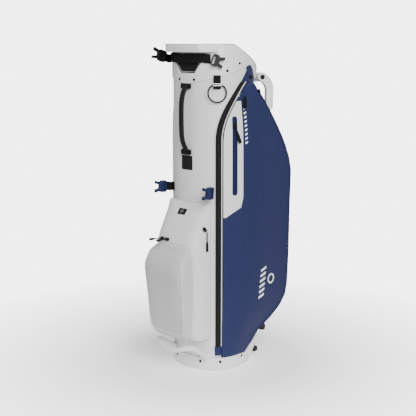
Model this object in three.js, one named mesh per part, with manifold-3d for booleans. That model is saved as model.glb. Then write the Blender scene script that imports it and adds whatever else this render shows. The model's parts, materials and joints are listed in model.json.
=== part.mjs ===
// Golf stand bag, standing upright with its legs folded and its shoulder harness taken off.
// Millimetres, +Z up. The origin is on the floor, on the axis of the club tube.
// -Y is the spine side with the grab handle, +Y is the leg side, +X is the right-hand pocket side.
import * as THREE from "three";
import { mergeVertices } from "three/addons/utils/BufferGeometryUtils.js";
import Module from "manifold-3d";

const wasm = await Module();
wasm.setup();

// ---------------------------------------------------------------- driving dimensions
const RIM_HEIGHT = 871;
const RIM_FLAT_UNTIL = -15;
const RIM_SLOPE = 0.475;
const TUBE_SIDE = 100;
const TUBE_FRONT = 84.5;
const TUBE_REAR = 111;
const REAR_FLARE = 32;
const FLARE_LOW = 680;
const FLARE_HIGH = 812;
const TUBE_POWER = 2.2;
const WALL = 2.4;
const RING_STEP = 7.5;
const GAP = 0.4;

const COLLAR_PROUD = 2.6;
const COLLAR_LOW = 770;
const COLLAR_TUCK = 10;
const PANEL_TOP = 840;
const LIP_HALF_WIDTH = 64;
const LIP_REACH = 105;
const LIP_DEPTH = 20;

const BASE_PROUD = 4;
const BASE_BAND = 37;
const BASE_CHANNEL = 14;
const BASE_FLOOR = 46;
const BASE_FLOOR_TOP = 50;
const NOTCH_HALF_WIDTH = 62;
const NOTCH_START = 43;
const SOLE_END = 40;

const BAND_ANGLE = 57;
const BAND_TURN_HEIGHT = 622;
const BAND_TURN = 0.0019;
const BAND_HALF_WIDTH = 9;
const BAND_TOP = 777;
const TIP_SLOPE = 0.36;
const REAR_SEAM = 138;

const POCKET_STRAIGHT_LOW = 206;
const POCKET_STRAIGHT_HIGH = 526;
const POCKET_REAR = 205;
const POCKET_OUT = 117;
const POCKET_WING = 13;

const LEG_PIVOT = new THREE.Vector3(53, 152, 782);
const LEG_AXIS = new THREE.Vector3(0.872, -0.489, 0).normalize();
const LEG_OUT = new THREE.Vector3(0.489, 0.872, 0).normalize();
const LEG_RADIUS = 6.5;
const LEG_TOP_OUT = 22.5;
const LEG_TIP_OUT = 9;
const LEG_SOCKET_TOP = -50;
const LEG_TIP_TOP = -700;
const LEG_TIP_END = -732;
const HUB_HALF = 8;
const HUB_BOTTOM = -88;
const WIRE_OUT = 20;
const WIRE_DROP = 75;
const WIRE_INSET = 16;

const ROD_REAR = 128;
const ROD_RADIUS = 3.5;
const ROD_LOW = 14;
const YOKE_HEIGHT = 350;
const YOKE_SPREAD = 9;
const WIRE_RADIUS = 2;

const FOOT_HINGE = new THREE.Vector3(0, 50, 8);
const FOOT_HALF_WIDTH = 56;
const FOOT_REAR = 132;

const WEBBING = 25;
const WEBBING_THICK = 2;

// ---------------------------------------------------------------- colours
const finish = (color, roughness, metalness = 0) => () =>
  new THREE.MeshStandardMaterial({ color, roughness, metalness });
const whiteFabric = finish(0xd6d6d6, 0.75);
const whiteMoulded = finish(0xdcdcda, 0.5);
const navyFabric = finish(0x2b3a67, 0.75);
const blackWebbing = finish(0x222222, 0.8);
const blackMoulded = finish(0x1c1c1c, 0.45);
const charcoalGrip = finish(0x333333, 0.7);
const blackMetal = finish(0x202020, 0.35, 0.8);
const brightSteel = finish(0x9a9a9a, 0.3, 1);
const greyLining = finish(0x4a4d52, 0.85);
const blackRubber = finish(0x181818, 0.85);

// ---------------------------------------------------------------- shape helpers
const degrees = THREE.MathUtils.degToRad;
const clamp = THREE.MathUtils.clamp;
const lerp = THREE.MathUtils.lerp;
const smoothstep = THREE.MathUtils.smoothstep;
const V = (x, y, z) => new THREE.Vector3(x, y, z);
const steps = (count) => Array.from({ length: count + 1 }, (_, i) => i / count);

// A point of the club tube's outline: a superellipse, flatter at the spine than at the legs,
// where it flares out towards the collar.
function tubePoint(angle, z, grow = 0) {
  const s = Math.sin(degrees(angle));
  const c = Math.cos(degrees(angle));
  const rear = TUBE_REAR + REAR_FLARE * smoothstep(z, FLARE_LOW, FLARE_HIGH);
  const depth = c > 0 ? TUBE_FRONT : rear;
  const across = Math.pow(Math.abs(s) / (TUBE_SIDE + grow), TUBE_POWER);
  const along = Math.pow(Math.abs(c) / (depth + grow), TUBE_POWER);
  const radius = Math.pow(across + along, -1 / TUBE_POWER);
  return V(radius * s, -radius * c, z);
}

// Closed body through a row of rings with the same number of points.
function loft(rings, closed = false) {
  const count = rings[0].length;
  const positions = rings.flatMap((ring) => ring.flatMap((p) => [p.x, p.y, p.z]));
  const index = [];
  const spans = closed ? rings.length : rings.length - 1;
  for (let r = 0; r < spans; r += 1) {
    const next = (r + 1) % rings.length;
    for (let i = 0; i < count; i += 1) {
      const j = (i + 1) % count;
      index.push(r * count + i, r * count + j, next * count + j);
      index.push(r * count + i, next * count + j, next * count + i);
    }
  }
  if (!closed) {
    index.push(...cap(rings[0], 0, -1));
    index.push(...cap(rings[rings.length - 1], (rings.length - 1) * count, 1));
  }
  return faceOut(indexed(positions, index));
}

// Triangles that close one ring, wound so that they face along or against the ring's own normal.
function cap(ring, offset, side) {
  const normal = V(0, 0, 0);
  ring.forEach((p, i) => {
    const q = ring[(i + 1) % ring.length];
    normal.add(V((p.y - q.y) * (p.z + q.z), (p.z - q.z) * (p.x + q.x), (p.x - q.x) * (p.y + q.y)));
  });
  const size = [Math.abs(normal.x), Math.abs(normal.y), Math.abs(normal.z)];
  const drop = size.indexOf(Math.max(...size));
  const flat = ring.map((p) => {
    const [x, y, z] = p.toArray();
    return drop === 0 ? new THREE.Vector2(y, z) : new THREE.Vector2(x, drop === 1 ? z : y);
  });
  const triangles = THREE.ShapeUtils.triangulateShape(flat, []);
  const turns = triangles.map(([a, b, c]) =>
    ring[b].clone().sub(ring[a]).cross(ring[c].clone().sub(ring[a])).dot(normal));
  const turn = turns.reduce((all, t) => all + t, 0);
  return triangles.flatMap(([a, b, c]) => {
    const order = turn * side > 0 ? [a, b, c] : [a, c, b];
    return order.map((i) => i + offset);
  });
}

function indexed(positions, index) {
  const geometry = new THREE.BufferGeometry();
  geometry.setAttribute("position", new THREE.Float32BufferAttribute(positions, 3));
  geometry.setIndex(index);
  return geometry;
}

function reversed(geometry) {
  const index = geometry.getIndex().array;
  for (let i = 0; i < index.length; i += 3) {
    [index[i + 1], index[i + 2]] = [index[i + 2], index[i + 1]];
  }
  return geometry;
}

// Turns the faces outwards where the signed volume says that they point in.
function faceOut(geometry) {
  const position = geometry.getAttribute("position");
  const index = geometry.getIndex().array;
  const corner = (i) => new THREE.Vector3().fromBufferAttribute(position, index[i]);
  let volume = 0;
  for (let i = 0; i < index.length; i += 3) {
    volume += corner(i).dot(corner(i + 1).cross(corner(i + 2)));
  }
  return volume < 0 ? reversed(geometry) : geometry;
}

function mirrored(geometry) {
  const copy = welded(geometry);
  copy.scale(-1, 1, 1);
  return reversed(copy);
}

function welded(geometry) {
  const plain = new THREE.BufferGeometry();
  plain.setAttribute("position", geometry.getAttribute("position").clone());
  if (geometry.getIndex()) {
    plain.setIndex(Array.from(geometry.getIndex().array));
  }
  return mergeVertices(plain, 1e-4);
}

function solid(geometry) {
  const plain = welded(geometry);
  const mesh = new wasm.Mesh({
    numProp: 3,
    vertProperties: new Float32Array(plain.getAttribute("position").array),
    triVerts: new Uint32Array(plain.getIndex().array),
  });
  return new wasm.Manifold(mesh);
}

function shaped(manifold) {
  const mesh = manifold.getMesh();
  return indexed(Array.from(mesh.vertProperties), Array.from(mesh.triVerts));
}

const join = (first, ...rest) => shaped(rest.reduce((all, g) => all.add(solid(g)), solid(first)));
const cut = (first, ...rest) => shaped(rest.reduce((all, g) => all.subtract(solid(g)), solid(first)));

// A wall that follows the tube between two angles, which may vary with the height; fit bends its top edge.
function wallPanel({ heights, from, to, columns, grow = 0, thick = WALL, fit = (angle, z) => z }) {
  const rings = heights.map((z) => {
    const at = (u, lift) => {
      const angle = lerp(from(z), to(z), u);
      return tubePoint(angle, fit(angle, z), lift);
    };
    const outer = steps(columns).map((u) => at(u, grow));
    const inner = steps(columns).map((u) => at(1 - u, grow - thick));
    return [...outer, ...inner];
  });
  return loft(rings);
}

// Carries a flat section along a curve; the section's x axis stays close to the given side.
function sweep(points, section, side) {
  const rings = points.map((p, i) => {
    const before = points[Math.max(i - 1, 0)];
    const after = points[Math.min(i + 1, points.length - 1)];
    const along = after.clone().sub(before).normalize();
    const across = side.clone().addScaledVector(along, -side.dot(along)).normalize();
    const up = along.clone().cross(across);
    return section.map(([x, y]) => p.clone().addScaledVector(across, x).addScaledVector(up, y));
  });
  return loft(rings);
}

const curved = (points, count) => new THREE.CatmullRomCurve3(points).getPoints(count);

function roundSection(radius, sides) {
  return Array.from({ length: sides }, (_, i) => {
    const angle = (2 * Math.PI * i) / sides;
    return [radius * Math.cos(angle), radius * Math.sin(angle)];
  });
}

function slabSection(width, thick, bevel) {
  const x = width / 2;
  const y = thick / 2;
  return [
    [-x, -y + bevel], [-x + bevel, -y], [x - bevel, -y], [x, -y + bevel],
    [x, y - bevel], [x - bevel, y], [-x + bevel, y], [-x, y - bevel],
  ];
}

function polygon(points) {
  return new THREE.Shape(points.map(([x, y]) => new THREE.Vector2(x, y)));
}

function extruded(shape, depth, curveSegments = 8) {
  return new THREE.ExtrudeGeometry(shape, { depth, bevelEnabled: false, curveSegments });
}

function box(x0, x1, y0, y1, z0, z1) {
  const geometry = new THREE.BoxGeometry(x1 - x0, y1 - y0, z1 - z0);
  return geometry.translate((x0 + x1) / 2, (y0 + y1) / 2, (z0 + z1) / 2);
}

// A round bar between two points.
function pin(from, to, radius, sides = 14) {
  const along = to.clone().sub(from);
  const geometry = new THREE.CylinderGeometry(radius, radius, along.length(), sides);
  geometry.applyQuaternion(new THREE.Quaternion().setFromUnitVectors(V(0, 1, 0), along.clone().normalize()));
  return geometry.translate(...from.clone().add(to).multiplyScalar(0.5).toArray());
}

// Moves a shape drawn in x and y, with its thickness along z, onto three axes at a place.
function placed(geometry, origin, xAxis, yAxis, zAxis) {
  const matrix = new THREE.Matrix4().makeBasis(xAxis, yAxis, zAxis).setPosition(origin);
  return geometry.applyMatrix4(matrix);
}

// ---------------------------------------------------------------- lines the pieces share
const bandCentre = (z) => BAND_ANGLE + BAND_TURN * Math.pow(Math.max(0, z - BAND_TURN_HEIGHT), 2);

// Half of the zip band in degrees, wider where the band climbs at a slant.
function bandHalf(z) {
  const radius = tubePoint(bandCentre(z), 0).length();
  const climb = degrees(2 * BAND_TURN * Math.max(0, z - BAND_TURN_HEIGHT)) * radius;
  return THREE.MathUtils.radToDeg((BAND_HALF_WIDTH / radius) * Math.sqrt(1 + climb * climb));
}

const seamGap = 0.25;
const bandFront = (z) => bandCentre(z) - bandHalf(z);
const bandRear = (z) => bandCentre(z) + bandHalf(z);
const tipEdge = (z) => bandFront(Math.min(z, BAND_TOP)) + TIP_SLOPE * Math.max(0, z - BAND_TOP);

function rimHeight(angle) {
  const y = tubePoint(angle, RIM_HEIGHT, COLLAR_PROUD).y;
  return RIM_HEIGHT - Math.max(0, y - RIM_FLAT_UNTIL) * RIM_SLOPE;
}

// The collar's lower edge climbs along the sides and drops again beside the legs.
function collarLow(angle) {
  const side = Math.abs(angle > 180 ? angle - 360 : angle);
  const climb = COLLAR_LOW + 48 * Math.pow(Math.min(side, 117) / 117, 1.3);
  return lerp(climb, COLLAR_LOW + 9, smoothstep(side, 121, 138));
}

// How far up inside the collar a wall reaches.
const collarTuck = (angle) => Math.min(COLLAR_TUCK, (rimHeight(angle) - collarLow(angle)) * 0.4);

// Squeezes the top of a wall so that its edge stays tucked inside the collar all the way round.
function underCollar(angle, z) {
  const share = Math.max(0, z - COLLAR_LOW) / (PANEL_TOP - COLLAR_LOW);
  return Math.min(z, COLLAR_LOW) + share * (collarLow(angle) + collarTuck(angle) - COLLAR_LOW);
}

const TUBE_HEIGHTS = [BASE_CHANNEL + GAP, 44, 330, BAND_TURN_HEIGHT, 650, 676, 700, 724, 748, 770];
const EDGE_HEIGHTS = [BAND_TOP, 790, 806, 822, PANEL_TOP];

// ---------------------------------------------------------------- club tube and collar
function topCollar() {
  const rings = [];
  for (let angle = 0; angle < 360; angle += RING_STEP) {
    const low = collarLow(angle);
    const high = rimHeight(angle);
    const tuck = low + collarTuck(angle);
    const at = (grow, z) => tubePoint(angle, z, grow);
    rings.push([
      at(COLLAR_PROUD, low), at(COLLAR_PROUD, lerp(low, high, 0.5)), at(COLLAR_PROUD, high - 3),
      at(COLLAR_PROUD - 2, high), at(-5, high), at(-6.5, high - 2), at(-6.5, high - 4),
      at(-3.6, high - 5.5), at(-3.6, tuck + 4.4), at(0.7, tuck + 3.4), at(0.7, low),
    ]);
  }
  const shell = loft(rings, true);
  const lipInner = steps(14).map((t) => {
    const p = tubePoint(lerp(64, -64, t), RIM_HEIGHT, -3);
    return [p.x, p.y];
  });
  const lip = extruded(polygon([
    [-90, -38], [-LIP_HALF_WIDTH - 5, -LIP_REACH + 14], [-LIP_HALF_WIDTH + 4, -LIP_REACH + 2],
    [-LIP_HALF_WIDTH + 18, -LIP_REACH - 1], [0, -LIP_REACH - 3], [LIP_HALF_WIDTH - 18, -LIP_REACH - 1],
    [LIP_HALF_WIDTH - 4, -LIP_REACH + 2], [LIP_HALF_WIDTH + 5, -LIP_REACH + 14], [90, -38],
    ...lipInner,
  ]), LIP_DEPTH).translate(0, 0, RIM_HEIGHT - LIP_DEPTH);
  const window = strapPlateShape(0);
  const slots = [66, 112].flatMap((angle) => {
    const p = tubePoint(angle, rimHeight(angle) - 13);
    const out = V(p.x, p.y, 0).normalize();
    const right = pin(p.clone().addScaledVector(out, -12), p.clone().addScaledVector(out, 12), 2.5, 8);
    return [right, mirrored(right)];
  });
  return cut(join(shell, lip), window, ...slots);
}

// The six-sided plate in the collar's front, and the window it sits in when it has no gap.
function strapPlateShape(gap) {
  const halfTop = 46 - gap;
  const halfBottom = 28 - gap;
  const shape = polygon([
    [-halfTop, 848 - gap], [-halfTop - 6, 832], [-halfBottom, 797 + gap],
    [halfBottom, 797 + gap], [halfTop + 6, 832], [halfTop, 848 - gap],
  ]);
  const plate = extruded(shape, gap > 0 ? 5 : 30);
  plate.rotateX(Math.PI / 2);
  return plate.translate(0, gap > 0 ? -74 : -62, 0);
}

const DIVIDER_CROSS_LOW = 772;

function dividerTop() {
  const half = 4;
  const across = extruded(polygon([
    [-91, -half], [91, -half], [91, half], [-91, half],
  ]), 16);
  const along = extruded(polygon([
    [-half, -71], [half, -71], [half, 103], [-half, 103],
  ]), 16);
  return join(across, along).translate(0, 0, DIVIDER_CROSS_LOW);
}

function dividerWalls() {
  const across = box(-90, 90, -1, 1, BASE_FLOOR_TOP + 2, 771);
  const along = box(-1, 1, -75, 102, BASE_FLOOR_TOP + 2, 771);
  return join(across, along);
}

const stayRod = () => pin(V(88, 18, BASE_FLOOR_TOP + 1), V(88, 18, 800), 2.5, 10);

// The white front wall: its side edges follow the zip bands and its top hides inside the collar.
function frontPanel() {
  return wallPanel({
    heights: [...TUBE_HEIGHTS, ...EDGE_HEIGHTS], columns: 14, fit: underCollar,
    from: (z) => -tipEdge(z) + seamGap, to: (z) => tipEdge(z) - seamGap,
  });
}

function sidePanel() {
  return wallPanel({
    heights: [...TUBE_HEIGHTS, BAND_TOP - 0.2, ...EDGE_HEIGHTS], columns: 10, fit: underCollar,
    from: (z) => (z < BAND_TOP ? bandRear(z) : tipEdge(z)) + seamGap, to: () => REAR_SEAM - seamGap,
  });
}

function mainZip() {
  return wallPanel({
    heights: [...TUBE_HEIGHTS.slice(1), BAND_TOP - 0.8], columns: 3, grow: 0.6, fit: underCollar,
    from: (z) => bandFront(z) + seamGap, to: (z) => bandRear(z) - seamGap,
  });
}

function rearPanel() {
  return wallPanel({
    heights: [BASE_FLOOR_TOP + GAP, 676, 700, 724, 748, 770, PANEL_TOP], columns: 10, fit: underCollar,
    from: () => REAR_SEAM, to: () => 360 - REAR_SEAM,
  });
}

// A crowned pad on the rear wall, between the legs.
function hipPad() {
  const rings = steps(8).map((v) => {
    const z = lerp(440, 640, v);
    const swell = Math.pow(Math.sin(Math.PI * lerp(0.06, 0.94, v)), 0.35);
    const half = 22 * Math.pow(Math.sin(Math.PI * lerp(0.1, 0.9, v)), 0.25);
    const outer = steps(8).map((u) => {
      const crown = 2 + 10 * swell * Math.pow(Math.sin(Math.PI * lerp(0.04, 0.96, u)), 0.5);
      return tubePoint(lerp(180 - half, 180 + half, u), z, crown);
    });
    const inner = steps(8).map((u) => tubePoint(lerp(180 + half, 180 - half, u), z, GAP));
    return [...outer, ...inner];
  });
  return loft(rings);
}

// ---------------------------------------------------------------- side pockets
function pocketRearEdge(z) {
  const slant = (z - POCKET_STRAIGHT_LOW) * 0.022;
  const above = clamp((z - POCKET_STRAIGHT_HIGH) / 264, 0, 1);
  const below = clamp((POCKET_STRAIGHT_LOW - z) / 111, 0, 1);
  const toe = Math.max(0, POCKET_STRAIGHT_LOW - 111 - z);
  const drop = 168 * Math.pow(above, 1.5) + 115 * Math.pow(below, 2.4) + toe * 0.95;
  const y = POCKET_REAR - 7 + clamp(slant, 0, 7) - drop;
  const x = POCKET_OUT - 9 * Math.pow(above, 2) - 7.5 * Math.pow(below, 2) - toe * 0.1;
  return V(x, y, z);
}

// The angle at which the rear half of the tube's outline reaches a given y.
function tubeAngleAt(y, z) {
  let low = 90;
  let high = 180;
  for (let i = 0; i < 24; i += 1) {
    const middle = (low + high) / 2;
    if (tubePoint(middle, z).y < y) {
      low = middle;
    } else {
      high = middle;
    }
  }
  return low;
}

// The pocket's outer face runs off the tube at the zip band and straight back to the rear edge.
function pocketFace(z) {
  const start = tubePoint(bandRear(z) + 1, z, 2.2);
  const beside = tubePoint(bandRear(z) + 2, z, 2.2);
  const end = pocketRearEdge(z);
  const reach = start.distanceTo(end) * 0.36;
  const first = start.clone().addScaledVector(beside.sub(start).normalize(), reach);
  const second = end.clone().addScaledVector(V(0.02, 1, 0).normalize(), -reach);
  return new THREE.CubicBezierCurve3(start, first, second, end);
}

const POCKET_HEIGHTS = [
  39.5, 56, 74, 95, 118, 144, 172, 206, 310, 420, 526, 565, 600, BAND_TURN_HEIGHT, 650, 676, 700, 724, 748, 770,
];

function apparelPocket() {
  const rings = POCKET_HEIGHTS.map((z) => {
    const end = pocketRearEdge(z);
    const outer = pocketFace(z).getPoints(9);
    const edge = [V(end.x - 2.5, end.y + 4, z), V(end.x - 7, end.y + 3.6, z)];
    const seamAngle = Math.min(REAR_SEAM - 1, tubeAngleAt(end.y - 12, z));
    const clear = GAP + 0.2 + smoothstep(z, 650, 724);
    const seam = tubePoint(seamAngle, z, clear + 0.3);
    const wingDepth = Math.min(POCKET_WING, (end.x - seam.x) * 0.6);
    const wing = V(end.x - wingDepth, end.y - 1, z);
    const bend = V(end.x - wingDepth - 1, lerp(seam.y, wing.y, 0.25), z);
    const inner = new THREE.QuadraticBezierCurve3(wing, bend, seam).getPoints(4);
    const first = bandRear(z) + 1;
    const back = steps(9).map((u) => tubePoint(lerp(seamAngle - 1, first + 0.5, u), z, clear));
    return [...outer, ...edge, ...inner, ...back];
  });
  return loft(rings);
}

// The point of the right pocket's face at a height and a y, lifted off the cloth.
function onPocket(z, y, lift) {
  const curve = pocketFace(z);
  let low = 0;
  let high = 1;
  for (let i = 0; i < 24; i += 1) {
    const middle = (low + high) / 2;
    if (curve.getPoint(middle).y < y) {
      low = middle;
    } else {
      high = middle;
    }
  }
  const tangent = curve.getTangent(low);
  return curve.getPoint(low).addScaledVector(V(tangent.y, -tangent.x, 0).normalize(), lift);
}

// A thin shell on the right pocket's face between two y values, which may vary with the height.
function pocketPatch({ low, high, rows, from, to, columns, lift, thick }) {
  const rings = steps(rows).map((v) => {
    const z = lerp(low, high, v);
    const outer = steps(columns).map((u) => onPocket(z, lerp(from(z), to(z), u), lift + thick));
    const inner = steps(columns).map((u) => onPocket(z, lerp(to(z), from(z), u), lift));
    return [...outer, ...inner];
  });
  return loft(rings);
}

const PATCH_LIFT = 1.2;
const PATCH_THICK = 1.4;
const ACCESSORY_LOW = 422;
const ACCESSORY_HIGH = 726;
const ACCESSORY_CORNER = 456;
const ACCESSORY_REAR = 8;

function accessoryRear(z) {
  const start = pocketFace(z).getPoint(0).y;
  const edge = Math.max(ACCESSORY_REAR, start + 7);
  return lerp(start + 4, edge, smoothstep(z, ACCESSORY_LOW - 6, ACCESSORY_CORNER));
}

function accessoryPanel() {
  return pocketPatch({
    low: ACCESSORY_LOW, high: ACCESSORY_HIGH, rows: 12, columns: 5, lift: PATCH_LIFT, thick: PATCH_THICK,
    from: (z) => pocketFace(z).getPoint(0).y + 1.5, to: accessoryRear,
  });
}

const ZIP_LOW = 480;
const ZIP_HIGH = 688;
const ZIP_CENTRE = -17;
const ZIP_HALF = 7.4;

function zipHalf(z) {
  const nearest = Math.min(z - ZIP_LOW, ZIP_HIGH - z);
  const turn = clamp(nearest / ZIP_HALF, 0.05, 1);
  return ZIP_HALF * Math.sqrt(1 - Math.pow(1 - turn, 2));
}

function valuablesZip() {
  const turn = [0, 1, 2.6, 5, ZIP_HALF];
  const straight = [56, 104, 152].map((h) => ZIP_LOW + h);
  const heights = [...turn.map((h) => ZIP_LOW + h), ...straight, ...turn.map((h) => ZIP_HIGH - h).reverse()];
  const lift = PATCH_LIFT + PATCH_THICK + 0.7;
  const rings = heights.map((z) => {
    const half = zipHalf(z);
    const outer = steps(3).map((u) => onPocket(z, ZIP_CENTRE + lerp(-half, half, u), lift + 1));
    const inner = steps(3).map((u) => onPocket(z, ZIP_CENTRE + lerp(half, -half, u), lift));
    return [...outer, ...inner];
  });
  return loft(rings);
}

// ---------------------------------------------------------------- front pockets
const SHOULDER_TOP = 461;
const SHOULDER_END = 362;
const FRONT_POCKET_DEPTH = 142;
const FRONT_POCKET_HALF = 76;
const FRONT_POCKET_LOW = 95;

function frontPocketDepth(z) {
  const shoulder = lerp(87.5, 138, clamp((SHOULDER_TOP - z) / (SHOULDER_TOP - SHOULDER_END), 0, 1));
  const body = lerp(shoulder, FRONT_POCKET_DEPTH, smoothstep(-z, -SHOULDER_END, -SHOULDER_END + 40));
  return lerp(body, 100, Math.pow(clamp((122 - z) / 40, 0, 1), 2.2));
}

function lowerFrontPocket() {
  const rings = steps(14).map((v) => {
    const z = lerp(FRONT_POCKET_LOW, SHOULDER_TOP, v);
    const seam = tubePoint(44, z, GAP + 0.6);
    const depth = frontPocketDepth(z) + seam.y;
    const boxy = 2 / lerp(5, 2.4, smoothstep(z, SHOULDER_END, SHOULDER_TOP));
    const outer = steps(16).map((u) => {
      const angle = lerp(-Math.PI / 2, Math.PI / 2, u);
      const x = FRONT_POCKET_HALF * Math.sign(Math.sin(angle)) * Math.pow(Math.abs(Math.sin(angle)), boxy);
      return V(x, seam.y - depth * Math.pow(Math.max(0, Math.cos(angle)), boxy), z);
    });
    const inner = steps(10).map((u) => tubePoint(lerp(44, -44, u), z, GAP));
    return [...outer, ...inner];
  });
  return loft(rings);
}

const BALL_LOW = 99;
const BALL_HIGH = 350;
const BALL_HALF = 75;
const BALL_BACK = FRONT_POCKET_DEPTH + 0.8;

function ballPocketFront(z) {
  const face = lerp(161, 186, clamp((z - 110) / 200, 0, 1));
  const topRound = lerp(BALL_BACK + 5, face, Math.pow(clamp((BALL_HIGH - z) / 56, 0, 1), 0.6));
  return lerp(BALL_BACK + 4, topRound, Math.pow(clamp((z - BALL_LOW) / 18, 0, 1), 0.5));
}

function ballPocketHalf(z) {
  const top = 1 - Math.pow(1 - clamp((BALL_HIGH - z) / 42, 0.02, 1), 2.4) * 0.26;
  const bottom = 1 - Math.pow(1 - clamp((z - BALL_LOW) / 40, 0.02, 1), 2.4) * 0.3;
  return BALL_HALF * Math.min(top, bottom);
}

function ballPocket() {
  const rings = steps(15).map((v) => {
    const z = lerp(BALL_LOW, BALL_HIGH, v);
    const half = ballPocketHalf(z);
    const deep = ballPocketFront(z) - BALL_BACK;
    const outer = steps(14).map((u) => {
      const angle = lerp(-Math.PI / 2, Math.PI / 2, u);
      const x = half * Math.sign(Math.sin(angle)) * Math.pow(Math.abs(Math.sin(angle)), 0.5);
      return V(x, -BALL_BACK - 1.2 - deep * Math.pow(Math.max(0, Math.cos(angle)), 0.4), z);
    });
    return [...outer, V(half, -BALL_BACK, z), V(-half, -BALL_BACK, z)];
  });
  return loft(rings);
}

// ---------------------------------------------------------------- spine handle and its patches
const HANDLE_TOP = 767;
const HANDLE_LOW = 596;
const HANDLE_BOW = 21;

function spineHandle() {
  const front = -TUBE_FRONT;
  const path = curved([
    V(0, front - 4.4, HANDLE_TOP), V(0, front - 8, HANDLE_TOP - 8), V(0, front - HANDLE_BOW * 0.82, HANDLE_TOP - 28),
    V(0, front - HANDLE_BOW, HANDLE_TOP - 56), V(0, front - HANDLE_BOW, HANDLE_LOW + 56),
    V(0, front - HANDLE_BOW * 0.82, HANDLE_LOW + 28), V(0, front - 8, HANDLE_LOW + 8), V(0, front - 4.4, HANDLE_LOW),
  ], 22);
  const bar = sweep(path, slabSection(14, 7, 2.4), V(1, 0, 0));
  const plates = [HANDLE_TOP, HANDLE_LOW].map((z) => box(-17.5, 17.5, front - 7.6, front - 1, z - 9, z + 2.4));
  return cut(join(bar, ...plates), tubeCore(580, 800, 0.6));
}

// A solid slice of the tube's outline, for trimming what lies on it.
function tubeCore(low, high, grow) {
  const ring = (z) => Array.from({ length: 360 / RING_STEP }, (_, i) => tubePoint(i * RING_STEP, z, grow));
  return loft([ring(low), ring(high)]);
}

const spinePatch = () => wallPanel({
  heights: [546, 583], columns: 6, grow: 2, thick: 2 - GAP, from: () => -12.4, to: () => 12.4,
});

// A small framed badge on the slope above the front pockets.
function pocketBadge() {
  const at = (z) => V(0, -frontPocketDepth(z) - 1, z);
  const up = at(446).sub(at(428)).normalize();
  const shape = polygon([[-17, 0], [10, 0], [13, 17], [-14, 17]]);
  return placed(extruded(shape, 2), at(428), V(1, 0, 0), up, V(1, 0, 0).cross(up));
}

// ---------------------------------------------------------------- straps, loops and buckles
const topStrapRoot = () => tubePoint(-56, 833, 4.8);

function topStrap() {
  const wrap = wallPanel({
    heights: [824, 848], columns: 16, grow: 5.8, thick: WEBBING_THICK, from: () => -58, to: () => 45,
  });
  const root = topStrapRoot();
  const stub = sweep(curved([
    root, V(root.x - 3, root.y - 8, 833), V(root.x - 2, root.y - 19, 836),
  ], 5), slabSection(WEBBING - 3, WEBBING_THICK, 0.5), V(0, 0, 1));
  return join(wrap, stub);
}

// A side-release buckle half, drawn with its length along x and its width along y.
function buckleHalf(length, width) {
  const half = width / 2;
  const body = extruded(polygon([
    [0, -half * 0.8], [4, -half], [length * 0.5, -half], [length * 0.56, -half * 0.72], [length, -half],
    [length, -half * 0.5], [length * 0.66, -half * 0.3], [length * 0.66, half * 0.3], [length, half * 0.5],
    [length, half], [length * 0.56, half * 0.72], [length * 0.5, half], [4, half], [0, half * 0.8],
  ]), 9).translate(0, 0, -4.5);
  const slot = box(3.5, 9, -half * 0.72, half * 0.72, -8, 8);
  return cut(body, slot);
}

function placedBuckle(length, width, hinge, along, across) {
  const x = along.clone().normalize();
  const y = across.clone().addScaledVector(x, -across.dot(x)).normalize();
  return placed(buckleHalf(length, width), hinge, x, y, x.clone().cross(y));
}

const TOP_LEFT_HINGE = topStrapRoot().add(V(-2, -20.2, 3.2));
const topBuckleLeft = () => placedBuckle(42, 30, TOP_LEFT_HINGE, V(-0.1, -0.93, 0.3), V(0, 0.25, 1));

const TOP_RIGHT_HINGE = tubePoint(46.5, 834, 11.4);
const topBuckleRight = () => placedBuckle(32, 30, TOP_RIGHT_HINGE, V(0.66, 0.66, -0.34), V(0.1, 0.3, 1));

const MID_STRAP_X = 86;
const MID_STRAP_HEIGHT = 492;

const midStrapRoot = () => tubePoint(49, MID_STRAP_HEIGHT, 2.2);

function midStrap() {
  const root = midStrapRoot();
  const flat = wallPanel({
    heights: [MID_STRAP_HEIGHT - 12, MID_STRAP_HEIGHT + 12], columns: 4,
    grow: 3.2, thick: WEBBING_THICK, from: () => 42, to: () => 49.6,
  });
  const free = sweep(curved([
    root, V(root.x + 2.6, root.y - 6, MID_STRAP_HEIGHT), V(MID_STRAP_X, root.y - 14, MID_STRAP_HEIGHT),
  ], 4), slabSection(24, WEBBING_THICK, 0.5), V(0, 0, 1));
  return join(flat, free);
}

const MID_HINGE = V(MID_STRAP_X + 0.2, midStrapRoot().y - 15.4, MID_STRAP_HEIGHT);
const midBuckle = () => placedBuckle(38, 32, MID_HINGE, V(0.05, -1, 0.06), V(0, 0.06, 1));

const RING_ANGLE = 54.5;
const RING_OUT = tubePoint(RING_ANGLE, 0).normalize();
const RING_ALONG = V(-RING_OUT.y, RING_OUT.x, 0);
const RING_CENTRE = tubePoint(RING_ANGLE, 748, 6.4);

function towelLoop() {
  const at = (z, out) => tubePoint(RING_ANGLE, z, out);
  const path = [at(792, 5), at(783, 5), at(775, 5.2)];
  const down = sweep(path, slabSection(19, WEBBING_THICK, 0.4), RING_ALONG);
  const front = sweep([at(776, 5.4), at(772.5, 9), at(768, 10), at(762, 9.4), at(759, 6.6), at(761, 3.6), at(768, 2.6),
    at(776, 3.2)],
    slabSection(19, 1.6, 0.4), RING_ALONG);
  return cut(join(down, front), tubeCore(740, 810, COLLAR_PROUD + GAP));
}

// A D-shaped ring with a straight bar that passes through the webbing loop.
function towelRing() {
  const radius = 24;
  const barHeight = 18;
  const opening = Math.asin(barHeight / radius);
  const arc = steps(15).map((t) => {
    const angle = lerp(Math.PI - opening, 2 * Math.PI + opening, t);
    return RING_CENTRE.clone().addScaledVector(RING_ALONG, radius * Math.cos(angle))
      .add(V(0, 0, radius * Math.sin(angle)));
  });
  const body = sweep(arc, roundSection(2.1, 7), RING_OUT);
  const ends = [arc[0], arc[arc.length - 1]];
  return join(body, pin(ends[0], ends[1], 2.1, 8));
}

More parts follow.
